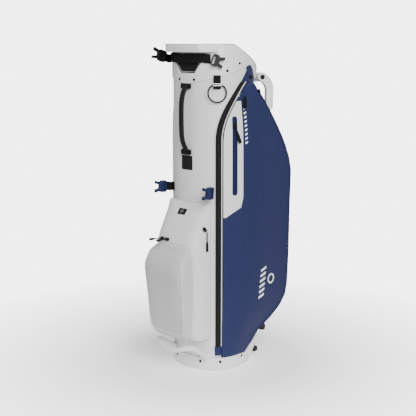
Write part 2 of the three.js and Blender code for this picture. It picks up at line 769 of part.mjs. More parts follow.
// ---------------------------------------------------------------- sliders and pulls
function slider(origin, along, out, length, width) {
  const across = along.clone().cross(out).normalize();
  const body = extruded(polygon([
    [-width / 2, -length * 0.35], [-width * 0.3, -length / 2], [width * 0.3, -length / 2], [width / 2, -length * 0.35],
    [width / 2, length * 0.3], [width * 0.25, length / 2], [-width * 0.25, length / 2], [-width / 2, length * 0.3],
  ]), 3.4);
  return placed(body, origin, across, along, across.clone().cross(along));
}

// A flat tapered puller that hangs along one direction, with its hole at the top.
function puller(origin, along, out, length, width) {
  const across = along.clone().cross(out).normalize();
  const shape = polygon([
    [-width * 0.3, 0], [width * 0.3, 0], [width / 2, length * 0.45], [width / 2, length - 2],
    [width * 0.3, length], [-width * 0.3, length], [-width / 2, length - 2], [-width / 2, length * 0.45],
  ]);
  return placed(extruded(shape, 2.4), origin, across, along, across.clone().cross(along));
}

const DOWN = V(0, 0, -1);
const outOfPocket = (z, y) => onPocket(z, y, 1).sub(onPocket(z, y, 0)).normalize();

const VALUABLES_SLIDER_HEIGHT = 664;
const valuablesFaceLift = PATCH_LIFT + PATCH_THICK + 2.9;
const valuablesSlider = () => slider(
  onPocket(VALUABLES_SLIDER_HEIGHT, ZIP_CENTRE, valuablesFaceLift),
  V(0, 0, 1), outOfPocket(VALUABLES_SLIDER_HEIGHT, ZIP_CENTRE), 15, 9,
);
const VALUABLES_PULL_AT = onPocket(VALUABLES_SLIDER_HEIGHT - 10.8, ZIP_CENTRE + 2, valuablesFaceLift + 1);
const valuablesPull = () => puller(
  VALUABLES_PULL_AT, V(0.14, 0.34, -1).normalize(),
  outOfPocket(VALUABLES_SLIDER_HEIGHT - 8, ZIP_CENTRE), 38, 9,
);

const MAIN_PULL_HEIGHT = 738;
const MAIN_PULL_Y = 18;
const MAIN_PULL_AT = onPocket(MAIN_PULL_HEIGHT - 33, MAIN_PULL_Y, 3.4).setZ(MAIN_PULL_HEIGHT);
const mainPull = () => puller(
  MAIN_PULL_AT, DOWN, outOfPocket(MAIN_PULL_HEIGHT - 33, MAIN_PULL_Y), 33, 9,
);

// The two sliders of the ball pocket sit side by side on its upper edge, near the left corner.
const BALL_ZIP_HEIGHT = 364;
const ballSliderPlace = (x) => V(x, -frontPocketDepth(BALL_ZIP_HEIGHT - 8) - 1.6, BALL_ZIP_HEIGHT);
const shoulderUp = V(0, frontPocketDepth(359) - frontPocketDepth(369), 10).normalize();
const shoulderOut = V(1, 0, 0).cross(shoulderUp);
const BALL_SLIDER_LEFT = ballSliderPlace(-38);
const BALL_SLIDER_RIGHT = ballSliderPlace(-20);
const ballSlider = (place) => slider(place, V(1, 0, 0), shoulderOut, 14, 9);
const BALL_PULL_LEFT_AT = BALL_SLIDER_LEFT.clone().add(V(-2, -7, 0));
const BALL_PULL_RIGHT_AT = BALL_SLIDER_RIGHT.clone().add(V(0, -7, 0));
const ballPullLeft = () => puller(BALL_PULL_LEFT_AT, V(-0.3, -0.9, 0).normalize(), V(0, 0, 1), 32, 6);
const ballPullRight = () => puller(BALL_PULL_RIGHT_AT, V(-0.1, -0.95, 0).normalize(), V(0, 0, 1), 30, 6);

const LOWER_SLIDER_AT = V(FRONT_POCKET_HALF + 0.6, -101, 398);
const lowerSlider = () => slider(LOWER_SLIDER_AT, V(0, -0.64, 0.77).normalize(), V(1, 0, 0), 15, 9);
const LOWER_PULL_AT = V(FRONT_POCKET_HALF + 1.6, -92, 389.6);
const lowerPull = () => puller(LOWER_PULL_AT, V(0, 0, -1), V(1, 0, 0), 52, 7);

// ---------------------------------------------------------------- base
function baseCup() {
  const rings = [];
  for (let angle = 0; angle < 360; angle += RING_STEP) {
    const side = Math.min(angle, 360 - angle);
    const lifted = smoothstep(side, 108, REAR_SEAM);
    const band = lerp(BASE_BAND, 66, lifted);
    const channel = side > REAR_SEAM + RING_STEP ? BASE_FLOOR_TOP : BASE_CHANNEL;
    const at = (grow, z) => tubePoint(angle, z, grow);
    rings.push([
      at(BASE_PROUD - 3, 0), at(BASE_PROUD, 4), at(BASE_PROUD, band - 3), at(BASE_PROUD - 1.5, band),
      at(0.7, band), at(0.7, channel), at(-WALL - 0.8, channel), at(-WALL - 0.8, BASE_FLOOR_TOP + 6),
      at(-WALL - 3.4, BASE_FLOOR_TOP + 6), at(-WALL - 3.4, 0),
    ]);
  }
  const shell = loft(rings, true);
  const floorRing = (z) => Array.from({ length: 360 / RING_STEP }, (_, i) => tubePoint(i * RING_STEP, z, -WALL - 1.8));
  const floor = loft([floorRing(BASE_FLOOR), floorRing(BASE_FLOOR_TOP)]);
  const sole = cut(loft([floorRing(0), floorRing(5)]), box(-150, 150, SOLE_END, 200, -5, 20));
  const notch = box(-NOTCH_HALF_WIDTH, NOTCH_HALF_WIDTH, NOTCH_START, 200, -5, BASE_FLOOR);
  const hinge = [1, -1].map((s) => pin(
    V(s * (NOTCH_HALF_WIDTH + 6), FOOT_HINGE.y, FOOT_HINGE.z),
    V(s * (FOOT_HALF_WIDTH - 8), FOOT_HINGE.y, FOOT_HINGE.z), 2.5, 12,
  ));
  const ears = [1, -1].map((s) => box(
    Math.min(s * (NOTCH_HALF_WIDTH - 3), s * (NOTCH_HALF_WIDTH + 8)),
    Math.max(s * (NOTCH_HALF_WIDTH - 3), s * (NOTCH_HALF_WIDTH + 8)), SOLE_END - 12, FOOT_HINGE.y + 8, 1, 16,
  ));
  const arm = cut(sweep(curved([
    V(86, 56, 18), V(86, 74, 30), V(82, 92, 50), V(77.5, 104, 72), V(75.5, 111, 93),
  ], 14), slabSection(8, 18, 2.5), V(1, 0, 0)), tubeCore(10, 120, GAP));
  const body = cut(join(shell, floor, sole), notch);
  return join(body, ...hinge, ...ears, arm, mirrored(arm));
}

// The moulded grab loop that reaches forward from the foot of the spine, under the ball pocket.
function baseHandle() {
  const half = [V(-58, -76, 46), V(-65, -102, 60), V(-63, -127, 77), V(-49, -146, 79), V(-25, -153, 71)];
  const other = half.map((p) => V(-p.x, p.y, p.z)).reverse();
  const path = curved([...half, V(0, -155, 67), ...other], 24);
  const bar = sweep(path, slabSection(13, 7, 2.2), V(0, -0.2, 1).normalize());
  const pads = [1, -1].map((s) => box(
    Math.min(s * 48, s * 67), Math.max(s * 48, s * 67), -88, -58, BASE_BAND + 1, 53,
  ));
  return cut(join(bar, ...pads), tubeCore(0, 100, 0.8));
}

function baseFoot() {
  const plate = polygon([
    [-FOOT_HALF_WIDTH, FOOT_HINGE.y], [FOOT_HALF_WIDTH, FOOT_HINGE.y], [FOOT_HALF_WIDTH, 108],
    [FOOT_HALF_WIDTH - 14, FOOT_REAR], [-FOOT_HALF_WIDTH + 14, FOOT_REAR], [-FOOT_HALF_WIDTH, 108],
  ]);
  const board = extruded(plate, 7).translate(0, 0, 1);
  const rim = [];
  for (const s of [-1, 1]) {
    rim.push(sweep([V(s * 50, 82, 7), V(s * 51.5, 104, 8), V(s * 39, 127, 8)], slabSection(14, 6, 1), V(0, 0, 1)));
  }
  const barrel = pin(V(-FOOT_HALF_WIDTH, FOOT_HINGE.y, FOOT_HINGE.z), V(FOOT_HALF_WIDTH, FOOT_HINGE.y, FOOT_HINGE.z), 6);
  const bores = [-1, 1].map((s) => pin(
    V(s * (FOOT_HALF_WIDTH + 2), FOOT_HINGE.y, FOOT_HINGE.z),
    V(s * (FOOT_HALF_WIDTH - 10), FOOT_HINGE.y, FOOT_HINGE.z), 3.2, 12,
  ));
  return cut(join(board, barrel, ...rim), ...bores, box(-90, 90, 30, 160, -20, 0.8));
}

function rodGuide() {
  const block = box(-11, 11, TUBE_REAR + 0.6, ROD_REAR + 8, 176, 200);
  return cut(block, pin(V(0, ROD_REAR, 160), V(0, ROD_REAR, 220), ROD_RADIUS + 0.9), tubeCore(170, 210, GAP));
}

// ---------------------------------------------------------------- stand
const inLegPlane = (out, up, side = 0) => LEG_PIVOT.clone()
  .addScaledVector(LEG_OUT, out).add(V(0, 0, up)).addScaledVector(LEG_AXIS, side);

function legBracket() {
  const plan = (p) => [p.x, p.y];
  const right = [
    plan(tubePoint(154, RIM_HEIGHT, COLLAR_PROUD + 0.8)),
    plan(inLegPlane(-15, 0, -HUB_HALF - 0.6)), plan(inLegPlane(11, 0, -HUB_HALF - 0.6)),
    plan(inLegPlane(13, 0, -HUB_HALF - 4)), plan(inLegPlane(9, 0, -HUB_HALF - 13)), [22, 160], [9, 157],
  ];
  const left = right.map(([x, y]) => [-x, y]).reverse();
  const inner = steps(8).map((t) => plan(
    tubePoint(lerp(206, 154, t), RIM_HEIGHT, COLLAR_PROUD + 0.8),
  )).slice(1, -1);
  const block = extruded(polygon([...right, ...left, ...inner]), 24).translate(0, 0, 769);
  const holes = pin(inLegPlane(0, 0, -26), inLegPlane(0, 0, 2), 4.5);
  return cut(block, holes, mirrored(holes));
}

function legHub() {
  const outline = new THREE.Shape();
  outline.moveTo(-9, -7);
  outline.absarc(0, 0, 11.5, degrees(218), degrees(60), true);
  outline.bezierCurveTo(20, 5, 33, -14, 33, -32);
  outline.lineTo(32, HUB_BOTTOM);
  outline.lineTo(13, HUB_BOTTOM);
  outline.lineTo(13, -34);
  outline.quadraticCurveTo(11, -22, -1, -12.5);
  const arm = extruded(outline, HUB_HALF * 2, 10).translate(0, 0, -HUB_HALF);
  const body = placed(arm, LEG_PIVOT, LEG_OUT, V(0, 0, 1), LEG_AXIS);
  const sleeve = pin(inLegPlane(LEG_TOP_OUT, LEG_SOCKET_TOP + 8), inLegPlane(LEG_TOP_OUT - 0.6, HUB_BOTTOM), 9.6);
  const bore = pin(legLine(LEG_SOCKET_TOP), legLine(HUB_BOTTOM - 10), LEG_RADIUS + 0.3);
  const hole = pin(inLegPlane(0, 0, -20), inLegPlane(0, 0, 20), 4.5);
  return cut(join(body, sleeve), bore, hole);
}

// The leg's axis: folded, it leans in towards the bag at its tip.
function legLine(up) {
  const share = (up - LEG_SOCKET_TOP) / (LEG_TIP_END - LEG_SOCKET_TOP);
  return inLegPlane(lerp(LEG_TOP_OUT, LEG_TIP_OUT, share), up);
}

const legTube = () => pin(legLine(LEG_SOCKET_TOP - 1), legLine(LEG_TIP_TOP + 2), LEG_RADIUS);

function legTip() {
  const profile = [
    [0, LEG_TIP_TOP - 22], [5, LEG_TIP_TOP - 22], [9.5, LEG_TIP_TOP - 19], [10.5, LEG_TIP_TOP - 8],
    [8.6, LEG_TIP_TOP + 14], [7.4, LEG_TIP_TOP + 24], [LEG_RADIUS + GAP, LEG_TIP_TOP + 24],
    [LEG_RADIUS + GAP, LEG_TIP_TOP + 1], [0, LEG_TIP_TOP + 1],
  ].map(([x, y]) => new THREE.Vector2(x, y - LEG_TIP_TOP));
  const cup = new THREE.LatheGeometry(profile, 12);
  const up = legLine(LEG_TIP_TOP).sub(legLine(LEG_TIP_TOP - 20)).normalize();
  cup.applyQuaternion(new THREE.Quaternion().setFromUnitVectors(V(0, 1, 0), up));
  return faceOut(welded(cup.translate(...legLine(LEG_TIP_TOP).toArray())));
}

function pivotScrew() {
  const shank = pin(inLegPlane(0, 0, -18), inLegPlane(0, 0, HUB_HALF + 2), 4);
  const head = pin(inLegPlane(0, 0, HUB_HALF + 0.6), inLegPlane(0, 0, HUB_HALF + 3), 6.5);
  return join(shank, head);
}

const pushRod = () => pin(V(0, ROD_REAR, ROD_LOW), V(0, ROD_REAR, YOKE_HEIGHT - 8), ROD_RADIUS, 12);

function rodYoke() {
  const block = extruded(polygon([
    [-19, 0], [-16, -9], [16, -9], [19, 0], [19, 12], [13, 16], [-13, 16], [-19, 12],
  ]), 14).rotateX(Math.PI / 2).translate(0, ROD_REAR + 7, YOKE_HEIGHT);
  const sockets = [-1, 1].map((s) => pin(
    V(s * YOKE_SPREAD, ROD_REAR, YOKE_HEIGHT - 6), V(s * (YOKE_SPREAD + 1.5), ROD_REAR + 1, YOKE_HEIGHT + 30), 5.8, 12,
  ));
  const rodHole = pin(V(0, ROD_REAR, YOKE_HEIGHT - 20), V(0, ROD_REAR, YOKE_HEIGHT - 7.6), ROD_RADIUS + 0.3, 12);
  return cut(block, ...sockets, rodHole);
}

const WIRE_LOW = V(YOKE_SPREAD, ROD_REAR, YOKE_HEIGHT);
const WIRE_HIGH = inLegPlane(WIRE_OUT, -WIRE_DROP, -WIRE_INSET);

function bowWire() {
  const along = WIRE_HIGH.clone().sub(WIRE_LOW);
  const at = (share, x, y) => WIRE_LOW.clone().addScaledVector(along, share).add(V(x, y, 0));
  const path = curved([WIRE_LOW, at(0.12, -1, 0), at(0.4, -3, 2), at(0.75, -3, 2), at(0.95, -0.5, 0), WIRE_HIGH], 10);
  const ball = new THREE.SphereGeometry(4, 8, 6).translate(...WIRE_HIGH.toArray());
  return join(sweep(path, roundSection(WIRE_RADIUS, 6), V(1, 0, 0)), ball);
}

// ---------------------------------------------------------------- assembly
const group = new THREE.Group();

function add(name, geometry, material) {
  const mesh = new THREE.Mesh(geometry, material());
  mesh.name = name;
  group.add(mesh);
}

function addPair(name, geometry, material) {
  add(`${name}_right`, geometry, material);
  add(`${name}_left`, mirrored(geometry), material);
}

add("top_collar", topCollar(), whiteMoulded);
add("strap_plate", strapPlateShape(0.5), charcoalGrip);
add("divider_top", dividerTop(), blackMoulded);
add("divider_walls", dividerWalls(), greyLining);
addPair("stay_rod", stayRod(), blackMetal);
add("front_panel", frontPanel(), whiteFabric);
addPair("side_panel", sidePanel(), navyFabric);
addPair("main_zip", mainZip(), blackWebbing);
add("rear_panel", rearPanel(), whiteFabric);
add("hip_pad", hipPad(), blackWebbing);
addPair("apparel_pocket", apparelPocket(), navyFabric);
add("accessory_panel", accessoryPanel(), whiteFabric);
add("valuables_zip", valuablesZip(), navyFabric);
add("lower_front_pocket", lowerFrontPocket(), whiteFabric);
add("ball_pocket", ballPocket(), whiteFabric);
add("spine_handle", spineHandle(), charcoalGrip);
add("spine_patch", spinePatch(), charcoalGrip);
add("pocket_badge", pocketBadge(), blackMoulded);
add("top_strap", topStrap(), blackWebbing);
add("towel_loop", towelLoop(), blackWebbing);
addPair("mid_strap", midStrap(), blackWebbing);
add("base_cup", baseCup(), whiteMoulded);
add("base_handle", baseHandle(), whiteMoulded);
add("rod_guide", rodGuide(), blackMoulded);
add("leg_bracket", legBracket(), whiteMoulded);
addPair("pivot_screw", pivotScrew(), blackMetal);
addPair("leg_hub", legHub(), whiteMoulded);
addPair("leg_tube", legTube(), blackMetal);
addPair("leg_tip", legTip(), blackRubber);
add("push_rod", pushRod(), brightSteel);
add("rod_yoke", rodYoke(), blackMoulded);
addPair("bow_wire", bowWire(), brightSteel);
add("base_foot", baseFoot(), blackRubber);
add("towel_ring", towelRing(), blackMoulded);
add("valuables_slider", valuablesSlider(), blackMetal);
add("valuables_pull", valuablesPull(), blackMoulded);
addPair("main_pull", mainPull(), blackMoulded);
add("ball_slider_left", ballSlider(BALL_SLIDER_LEFT), blackMetal);
add("ball_slider_right", ballSlider(BALL_SLIDER_RIGHT), blackMetal);
add("ball_pull_left", ballPullLeft(), blackMoulded);
add("ball_pull_right", ballPullRight(), blackMoulded);
add("lower_slider", lowerSlider(), blackMetal);
add("lower_pull", lowerPull(), blackMoulded);
add("top_buckle_left", topBuckleLeft(), blackMoulded);
add("top_buckle_right", topBuckleRight(), blackMoulded);
addPair("mid_buckle", midBuckle(), navyFabric);

export default group;
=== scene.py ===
"""Golf stand bag: sewn, moulded and wire pieces built around the fixed frame, with their finishes."""
import json
import math

import bmesh
import bpy
import numpy as np
from mathutils.bvhtree import BVHTree
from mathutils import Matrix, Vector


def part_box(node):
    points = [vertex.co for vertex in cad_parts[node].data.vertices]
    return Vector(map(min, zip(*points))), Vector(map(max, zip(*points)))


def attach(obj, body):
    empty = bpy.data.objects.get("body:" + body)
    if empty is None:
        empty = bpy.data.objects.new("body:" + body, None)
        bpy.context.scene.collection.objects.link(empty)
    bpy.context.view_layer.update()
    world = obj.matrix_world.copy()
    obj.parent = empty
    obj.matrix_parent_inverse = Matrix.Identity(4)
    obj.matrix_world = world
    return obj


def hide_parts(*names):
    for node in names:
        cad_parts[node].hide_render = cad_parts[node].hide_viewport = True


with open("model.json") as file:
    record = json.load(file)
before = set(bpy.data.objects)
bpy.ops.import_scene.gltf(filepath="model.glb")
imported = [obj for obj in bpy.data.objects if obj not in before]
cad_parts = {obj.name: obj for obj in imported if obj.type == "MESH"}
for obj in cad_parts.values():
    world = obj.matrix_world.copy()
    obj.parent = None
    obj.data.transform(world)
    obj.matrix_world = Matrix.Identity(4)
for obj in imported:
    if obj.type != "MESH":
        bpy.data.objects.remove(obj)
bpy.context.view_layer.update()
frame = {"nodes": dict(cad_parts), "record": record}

bl_info = {
    "name": "Golf stand bag",
    "version": (1, 0, 0),
    "blender": (4, 5, 0),
    "location": "View3D > Sidebar > Golf bag",
    "description": "Builds the sewn, moulded and wire pieces of a golf stand bag",
    "category": "Object",
}

MM = 0.001
BAG = "bag"

# ------------------------------------------------------------------ the tube and its shared lines (millimetres)
RIM_HEIGHT, RIM_BEND, RIM_SLOPE = 871.0, -15.0, 0.475
TUBE_SIDE, TUBE_FRONT, TUBE_REAR = 100.0, 84.5, 111.0
REAR_FLARE, FLARE_LOW, FLARE_HIGH = 32.0, 680.0, 812.0
TUBE_POWER = 2.2
COLLAR_LOW, COLLAR_PROUD, PANEL_TOP = 770.0, 2.6, 840.0
COLLAR_CLIMB, COLLAR_CORNER, SADDLE_RISE, SADDLE_ANGLES = 48.0, 117.0, 9.0, (121.0, 138.0)
BAND_ANGLE, BAND_TURN_HEIGHT, BAND_TURN, BAND_HALF, BAND_TOP = 57.0, 622.0, 0.0019, 9.0, 777.0
TIP_SLOPE, REAR_SEAM = 0.36, 138.0
SIDE_ON = 150.0  # an x or -y outside the sewn pieces, from which a path is cast straight onto them
FLOOR_HALF = 4000.0


def smoothstep(x, low, high):
    """The cubic that climbs from 0 at low to 1 at high, level at both ends."""
    t = np.clip((np.asarray(x, float) - low) / (high - low), 0, 1)
    return t * t * (3 - 2 * t)


def mix(a, b, t):
    """The straight blend from a at 0 to b at 1."""
    return a + (b - a) * t


def tube(angle, z, grow=0.0):
    """Points on the tube: a superellipse of power 2.2, 100 wide each way, 84.5 deep in front and deeper at the rear,
    where the depth flares out between two heights. The angle runs from the spine, in degrees."""
    angle, z, grow = np.broadcast_arrays(np.asarray(angle, float), z, grow)
    s, c = np.sin(np.radians(angle)), np.cos(np.radians(angle))
    rear = TUBE_REAR + REAR_FLARE * smoothstep(z, FLARE_LOW, FLARE_HIGH)
    depth = np.where(c > 0, TUBE_FRONT, rear) + grow
    across = (np.abs(s) / (TUBE_SIDE + grow)) ** TUBE_POWER
    radius = (across + (np.abs(c) / depth) ** TUBE_POWER) ** (-1 / TUBE_POWER)
    return np.stack([radius * s, -radius * c, z + 0.0 * s], axis=-1)


def band_centre(z):
    """The zip band's middle in degrees: upright at first, then turning rearwards with the square of the height."""
    return BAND_ANGLE + BAND_TURN * np.maximum(0, z - BAND_TURN_HEIGHT) ** 2


def band_half(z):
    """Half of the zip band in degrees: nine millimetres over the radius, wider where the band climbs at a slant."""
    radius = np.linalg.norm(tube(band_centre(z), 0 * z)[..., :2], axis=-1)
    climb = np.radians(2 * BAND_TURN * np.maximum(0, z - BAND_TURN_HEIGHT)) * radius
    return np.degrees(BAND_HALF / radius) * np.sqrt(1 + climb**2)


def band_edge(z, side):
    """One edge of the zip band: its middle and half its width, to the front for -1 and to the rear for 1."""
    return band_centre(z) + side * band_half(z)


def tip_edge(z):
    """The front wall's edge: the band's front edge, and a straight slope above the band's end."""
    return band_edge(np.minimum(z, BAND_TOP), -1) + TIP_SLOPE * np.maximum(0, z - BAND_TOP)


def rim_height(angle):
    """The collar's rim: level in front, and falling at a straight slope behind the bend."""
    y = tube(angle, RIM_HEIGHT, COLLAR_PROUD)[..., 1]
    return RIM_HEIGHT - np.maximum(0, y - RIM_BEND) * RIM_SLOPE


def collar_low(angle):
    """The collar's lower edge: a climb as the power 1.3 of the angle to the corner, and low again behind it."""
    side = np.abs(np.where(np.asarray(angle) > 180, np.asarray(angle) - 360, angle))
    climb = COLLAR_LOW + COLLAR_CLIMB * (np.minimum(side, COLLAR_CORNER) / COLLAR_CORNER) ** 1.3
    return mix(climb, COLLAR_LOW + SADDLE_RISE, smoothstep(side, *SADDLE_ANGLES))


def under_collar(angle, z):
    """Squeezes nominal heights above the collar's lowest edge so that a wall ends tucked inside the collar."""
    tuck = np.minimum(10, (rim_height(angle) - collar_low(angle)) * 0.4)
    share = np.maximum(0, z - COLLAR_LOW) / (PANEL_TOP - COLLAR_LOW)
    return np.minimum(z, COLLAR_LOW) + share * (collar_low(angle) + tuck - COLLAR_LOW)


# ------------------------------------------------------------------ mesh making
def linked(name, data):
    """A new object of the scene that holds the data."""
    obj = bpy.data.objects.new(name, data)
    bpy.context.scene.collection.objects.link(obj)
    return obj


def evaluated(obj):
    """An object's mesh with its modifiers in it."""
    return bpy.data.meshes.new_from_object(obj.evaluated_get(bpy.context.evaluated_depsgraph_get()))


def read(mesh, what="co"):
    """One vector for each vertex of a mesh, as rows."""
    values = np.zeros(len(mesh.vertices) * 3)
    mesh.vertices.foreach_get(what, values)
    return values.reshape(-1, 3)


def new_object(name, vertices, faces, smooth=True, uv=None):
    """A mesh object from points in millimetres and faces given as index lists."""
    mesh = bpy.data.meshes.new(name)
    mesh.from_pydata((np.asarray(vertices, float).reshape(-1, 3) * MM).tolist(), [], faces)
    mesh.polygons.foreach_set("use_smooth", np.full(len(mesh.polygons), smooth))
    if uv is not None:
        corners = np.zeros(len(mesh.loops), int)
        mesh.loops.foreach_get("vertex_index", corners)
        layer = mesh.uv_layers.new(name="UVMap")
        layer.data.foreach_set("uv", np.asarray(uv, float).reshape(-1, 2)[corners].ravel())
    mesh.update()
    return linked(name, mesh)


def grid_faces(rows, columns, wrap_rows=False, wrap_columns=False):
    """The four-sided faces of a grid of points, as index lists."""
    r = np.arange(rows if wrap_rows else rows - 1)
    c = np.arange(columns if wrap_columns else columns - 1)
    r, c = np.meshgrid(r, c, indexing="ij")
    r1, c1 = (r + 1) % rows, (c + 1) % columns
    quads = np.stack([r * columns + c, r * columns + c1, r1 * columns + c1, r1 * columns + c], axis=-1)
    return quads.reshape(-1, 4).tolist()


def grid_uv(points):
    """Distances along the rows and up the middle column, in metres, so that a pattern keeps its size."""
    across = np.linalg.norm(np.diff(points, axis=1, prepend=points[:, :1]), axis=-1).cumsum(axis=1)
    middle = points[:, points.shape[1] // 2]
    up = np.linalg.norm(np.diff(middle, axis=0, prepend=middle[:1]), axis=-1).cumsum()
    across = across - across[:, points.shape[1] // 2, None]
    return np.stack([across, np.broadcast_to(up[:, None], across.shape)], axis=-1) * MM


def face_out(obj):
    """Turns every face outwards after doubles are merged."""
    work = bmesh.new()
    work.from_mesh(obj.data)
    bmesh.ops.remove_doubles(work, verts=work.verts, dist=1e-6)
    bmesh.ops.recalc_face_normals(work, faces=work.faces)
    work.to_mesh(obj.data)
    work.free()
    return obj


def loft(name, rings, closed_path=False):
    """A closed skin through rings of equal count, capped at both ends unless the path closes on itself."""
    rings = np.asarray(rings, float)
    rows, columns = rings.shape[:2]
    faces = grid_faces(rows, columns, closed_path, True)
    if not closed_path:
        faces.append(list(range(columns))[::-1])
        faces.append(list(range((rows - 1) * columns, rows * columns)))
    return face_out(new_object(name, rings, faces, uv=grid_uv(rings)))


def shell(name, points, thick):
    """A sheet through a grid of points, turned outwards and given a wall inwards."""
    faces = grid_faces(*points.shape[:2])
    normal = np.cross(np.gradient(points, axis=1), np.gradient(points, axis=0))
    if np.sum(normal * points * (1, 1, 0)) < 0:
        faces = [face[::-1] for face in faces]
    obj = new_object(name, points, faces, uv=grid_uv(points))
    solid = obj.modifiers.new("wall", "SOLIDIFY")
    solid.thickness = thick * MM
    solid.offset = -1
    return obj


def soften(obj, width, segments=2, angle=40):
    """Rounds every edge sharper than the angle."""
    edge = obj.modifiers.new("edges", "BEVEL")
    edge.width = width * MM
    edge.segments = segments
    edge.limit_method = "ANGLE"
    edge.angle_limit = math.radians(angle)
    edge.harden_normals = False
    return obj


def round_section(radius, sides=12):
    """A circle as a closed ring of points."""
    turn = np.linspace(0, 2 * np.pi, sides, endpoint=False)
    return np.stack([np.cos(turn), np.sin(turn)], axis=-1) * radius


def slab_section(width, thick, corner=0.5, steps=3):
    """A rectangle with rounded corners, as a closed ring of points."""
    turn = np.linspace(0, np.pi / 2, steps)
    ring = []
    for k, (sx, sy) in enumerate(((1, 1), (-1, 1), (-1, -1), (1, -1))):
        angle = turn + k * np.pi / 2
        centre = np.array([sx, sy]) * (width / 2 - corner, thick / 2 - corner)
        ring.append(centre + corner * np.stack([np.cos(angle), np.sin(angle)], axis=-1))
    return np.concatenate(ring)


def unit(v):
    """Vectors brought to length 1."""
    v = np.asarray(v, float)
    return v / np.maximum(np.linalg.norm(v, axis=-1, keepdims=True), 1e-12)


def curve(points, count):
    """A smooth line through control points: a centripetal blend of neighbouring parabolas, evenly respaced."""
    p = np.asarray(points, float)
    ends = np.concatenate([[2 * p[0] - p[1]], p, [2 * p[-1] - p[-2]]])
    t = np.linspace(0, 1, 24, endpoint=False)[:, None]
    a, b, c, d = (ends[k : len(ends) - 3 + k, None] for k in range(4))
    line = 0.5 * (2 * b + (c - a) * t + (2 * a - 5 * b + 4 * c - d) * t**2 + (3 * b - a - 3 * c + d) * t**3)
    line = np.concatenate([line.reshape(-1, 3), p[-1:]])
    return respaced(line, count)


def respaced(line, count):
    """The same line with an even number of points along its length."""
    line = np.asarray(line, float)
    length = np.linalg.norm(np.diff(line, axis=0), axis=1).cumsum()
    length = np.concatenate([[0], length])
    at = np.linspace(0, length[-1], count)
    return np.stack([np.interp(at, length, line[:, k]) for k in range(3)], axis=-1)


def swept(path, section, side):
    """Rings of a section carried along a path, its x axis kept close to the side direction."""
    path = np.asarray(path, float)
    along = unit(np.gradient(path, axis=0))
    side = np.broadcast_to(np.asarray(side, float), path.shape)
    across = unit(side - along * np.sum(side * along, axis=1, keepdims=True))
    up = np.cross(along, across)
    sx, sy = section[:, 0], section[:, 1]
    return path[:, None] + (across[:, None] * sx[None, :, None] + up[:, None] * sy[None, :, None])


def sweep(name, path, section, side):
    """A closed skin round a section carried along an open path."""
    return loft(name, swept(path, section, side))


def circled(name, centre, u, v, radius, thick, sides, side):
    """A round wire bent to a circle that lies on two axes at a place."""
    turn = np.linspace(0, 2 * np.pi, 33)[:-1]
    path = np.asarray(centre) + radius * (np.cos(turn)[:, None] * u + np.sin(turn)[:, None] * v)
    return loft(name, swept(path, round_section(thick, sides), side), True)


def lathe(name, profile, origin, axis, sides=32):
    """A profile of (radius, height) turned round an axis; both ends lie on the axis."""
    profile = np.asarray(profile, float)
    axis = unit(axis)
    helper = np.array([0, 0, 1.0]) if abs(axis[2]) < 0.9 else np.array([1.0, 0, 0])
    u = unit(np.cross(axis, helper))
    v = np.cross(axis, u)
    turn = np.linspace(0, 2 * np.pi, sides, endpoint=False)
    spoke = np.cos(turn)[:, None] * u + np.sin(turn)[:, None] * v
    rings = np.asarray(origin, float) + profile[:, 1, None, None] * axis + profile[:, 0, None, None] * spoke[None]
    return loft(name, rings)


def flat_part(name, outlines, thick, edge, origin, x_axis, y_axis):
    """A plate cut to closed outlines in its own x and y, with rounded edges, laid on two axes at a place."""
    data = bpy.data.curves.new(name, "CURVE")
    data.dimensions = "2D"
    data.fill_mode = "BOTH"
    data.extrude = (thick / 2 - edge) * MM
    data.bevel_depth = edge * MM
    data.bevel_resolution = 2
    data.offset = -edge * MM
    for outline in outlines:
        line = np.asarray(outline, float) * MM
        spline = data.splines.new("POLY")
        spline.points.add(len(line) - 1)
        spline.points.foreach_set("co", np.column_stack([line, np.zeros(len(line)), np.ones(len(line))]).ravel())
        spline.use_cyclic_u = True
    maker = linked(name + "_outline", data)
    mesh = evaluated(maker)
    bpy.data.objects.remove(maker)
    x, y = unit(x_axis), unit(y_axis)
    y = unit(y - x * np.dot(x, y))
    basis = np.stack([x, y, np.cross(x, y)])
    mesh.vertices.foreach_set("co", (read(mesh) @ basis + np.asarray(origin, float) * MM).ravel())
    mesh.polygons.foreach_set("use_smooth", np.zeros(len(mesh.polygons), bool))
    mesh.name = name
    return face_out(linked(name, mesh))


def rounded(points, radius, steps=4):
    """A closed outline whose corners are cut by short curves: quadratic blends between two points of each corner."""
    p = np.asarray(points, float)
    before, after = np.roll(p, 1, axis=0), np.roll(p, -1, axis=0)
    near = np.minimum(radius, 0.45 * np.linalg.norm(before - p, axis=1, keepdims=True))
    far = np.minimum(radius, 0.45 * np.linalg.norm(after - p, axis=1, keepdims=True))
    start, end = p + unit(before - p) * near, p + unit(after - p) * far
    t = np.linspace(0, 1, steps)[None, :, None]
    line = (1 - t) ** 2 * start[:, None] + 2 * t * (1 - t) * p[:, None] + t**2 * end[:, None]
    return line.reshape(-1, 2)


def node_copy(name, node):
    """A copy of one frame node's mesh with its loose triangles merged and its flat faces joined."""
    mesh = frame["nodes"][node].data.copy()
    mesh.name = name
    mesh.materials.clear()
    work = bmesh.new()
    work.from_mesh(mesh)
    bmesh.ops.remove_doubles(work, verts=work.verts, dist=1e-6)
    bmesh.ops.dissolve_limit(work, angle_limit=math.radians(1.0), verts=work.verts, edges=work.edges)
    work.to_mesh(mesh)
    work.free()
    return linked(name, mesh)


def smoothed(obj, angle):
    """Smooth shading that breaks at edges sharper than the angle."""
    obj.data.polygons.foreach_set("use_smooth", np.ones(len(obj.data.polygons), bool))
    obj.data.set_sharp_from_angle(angle=math.radians(angle))
    return obj


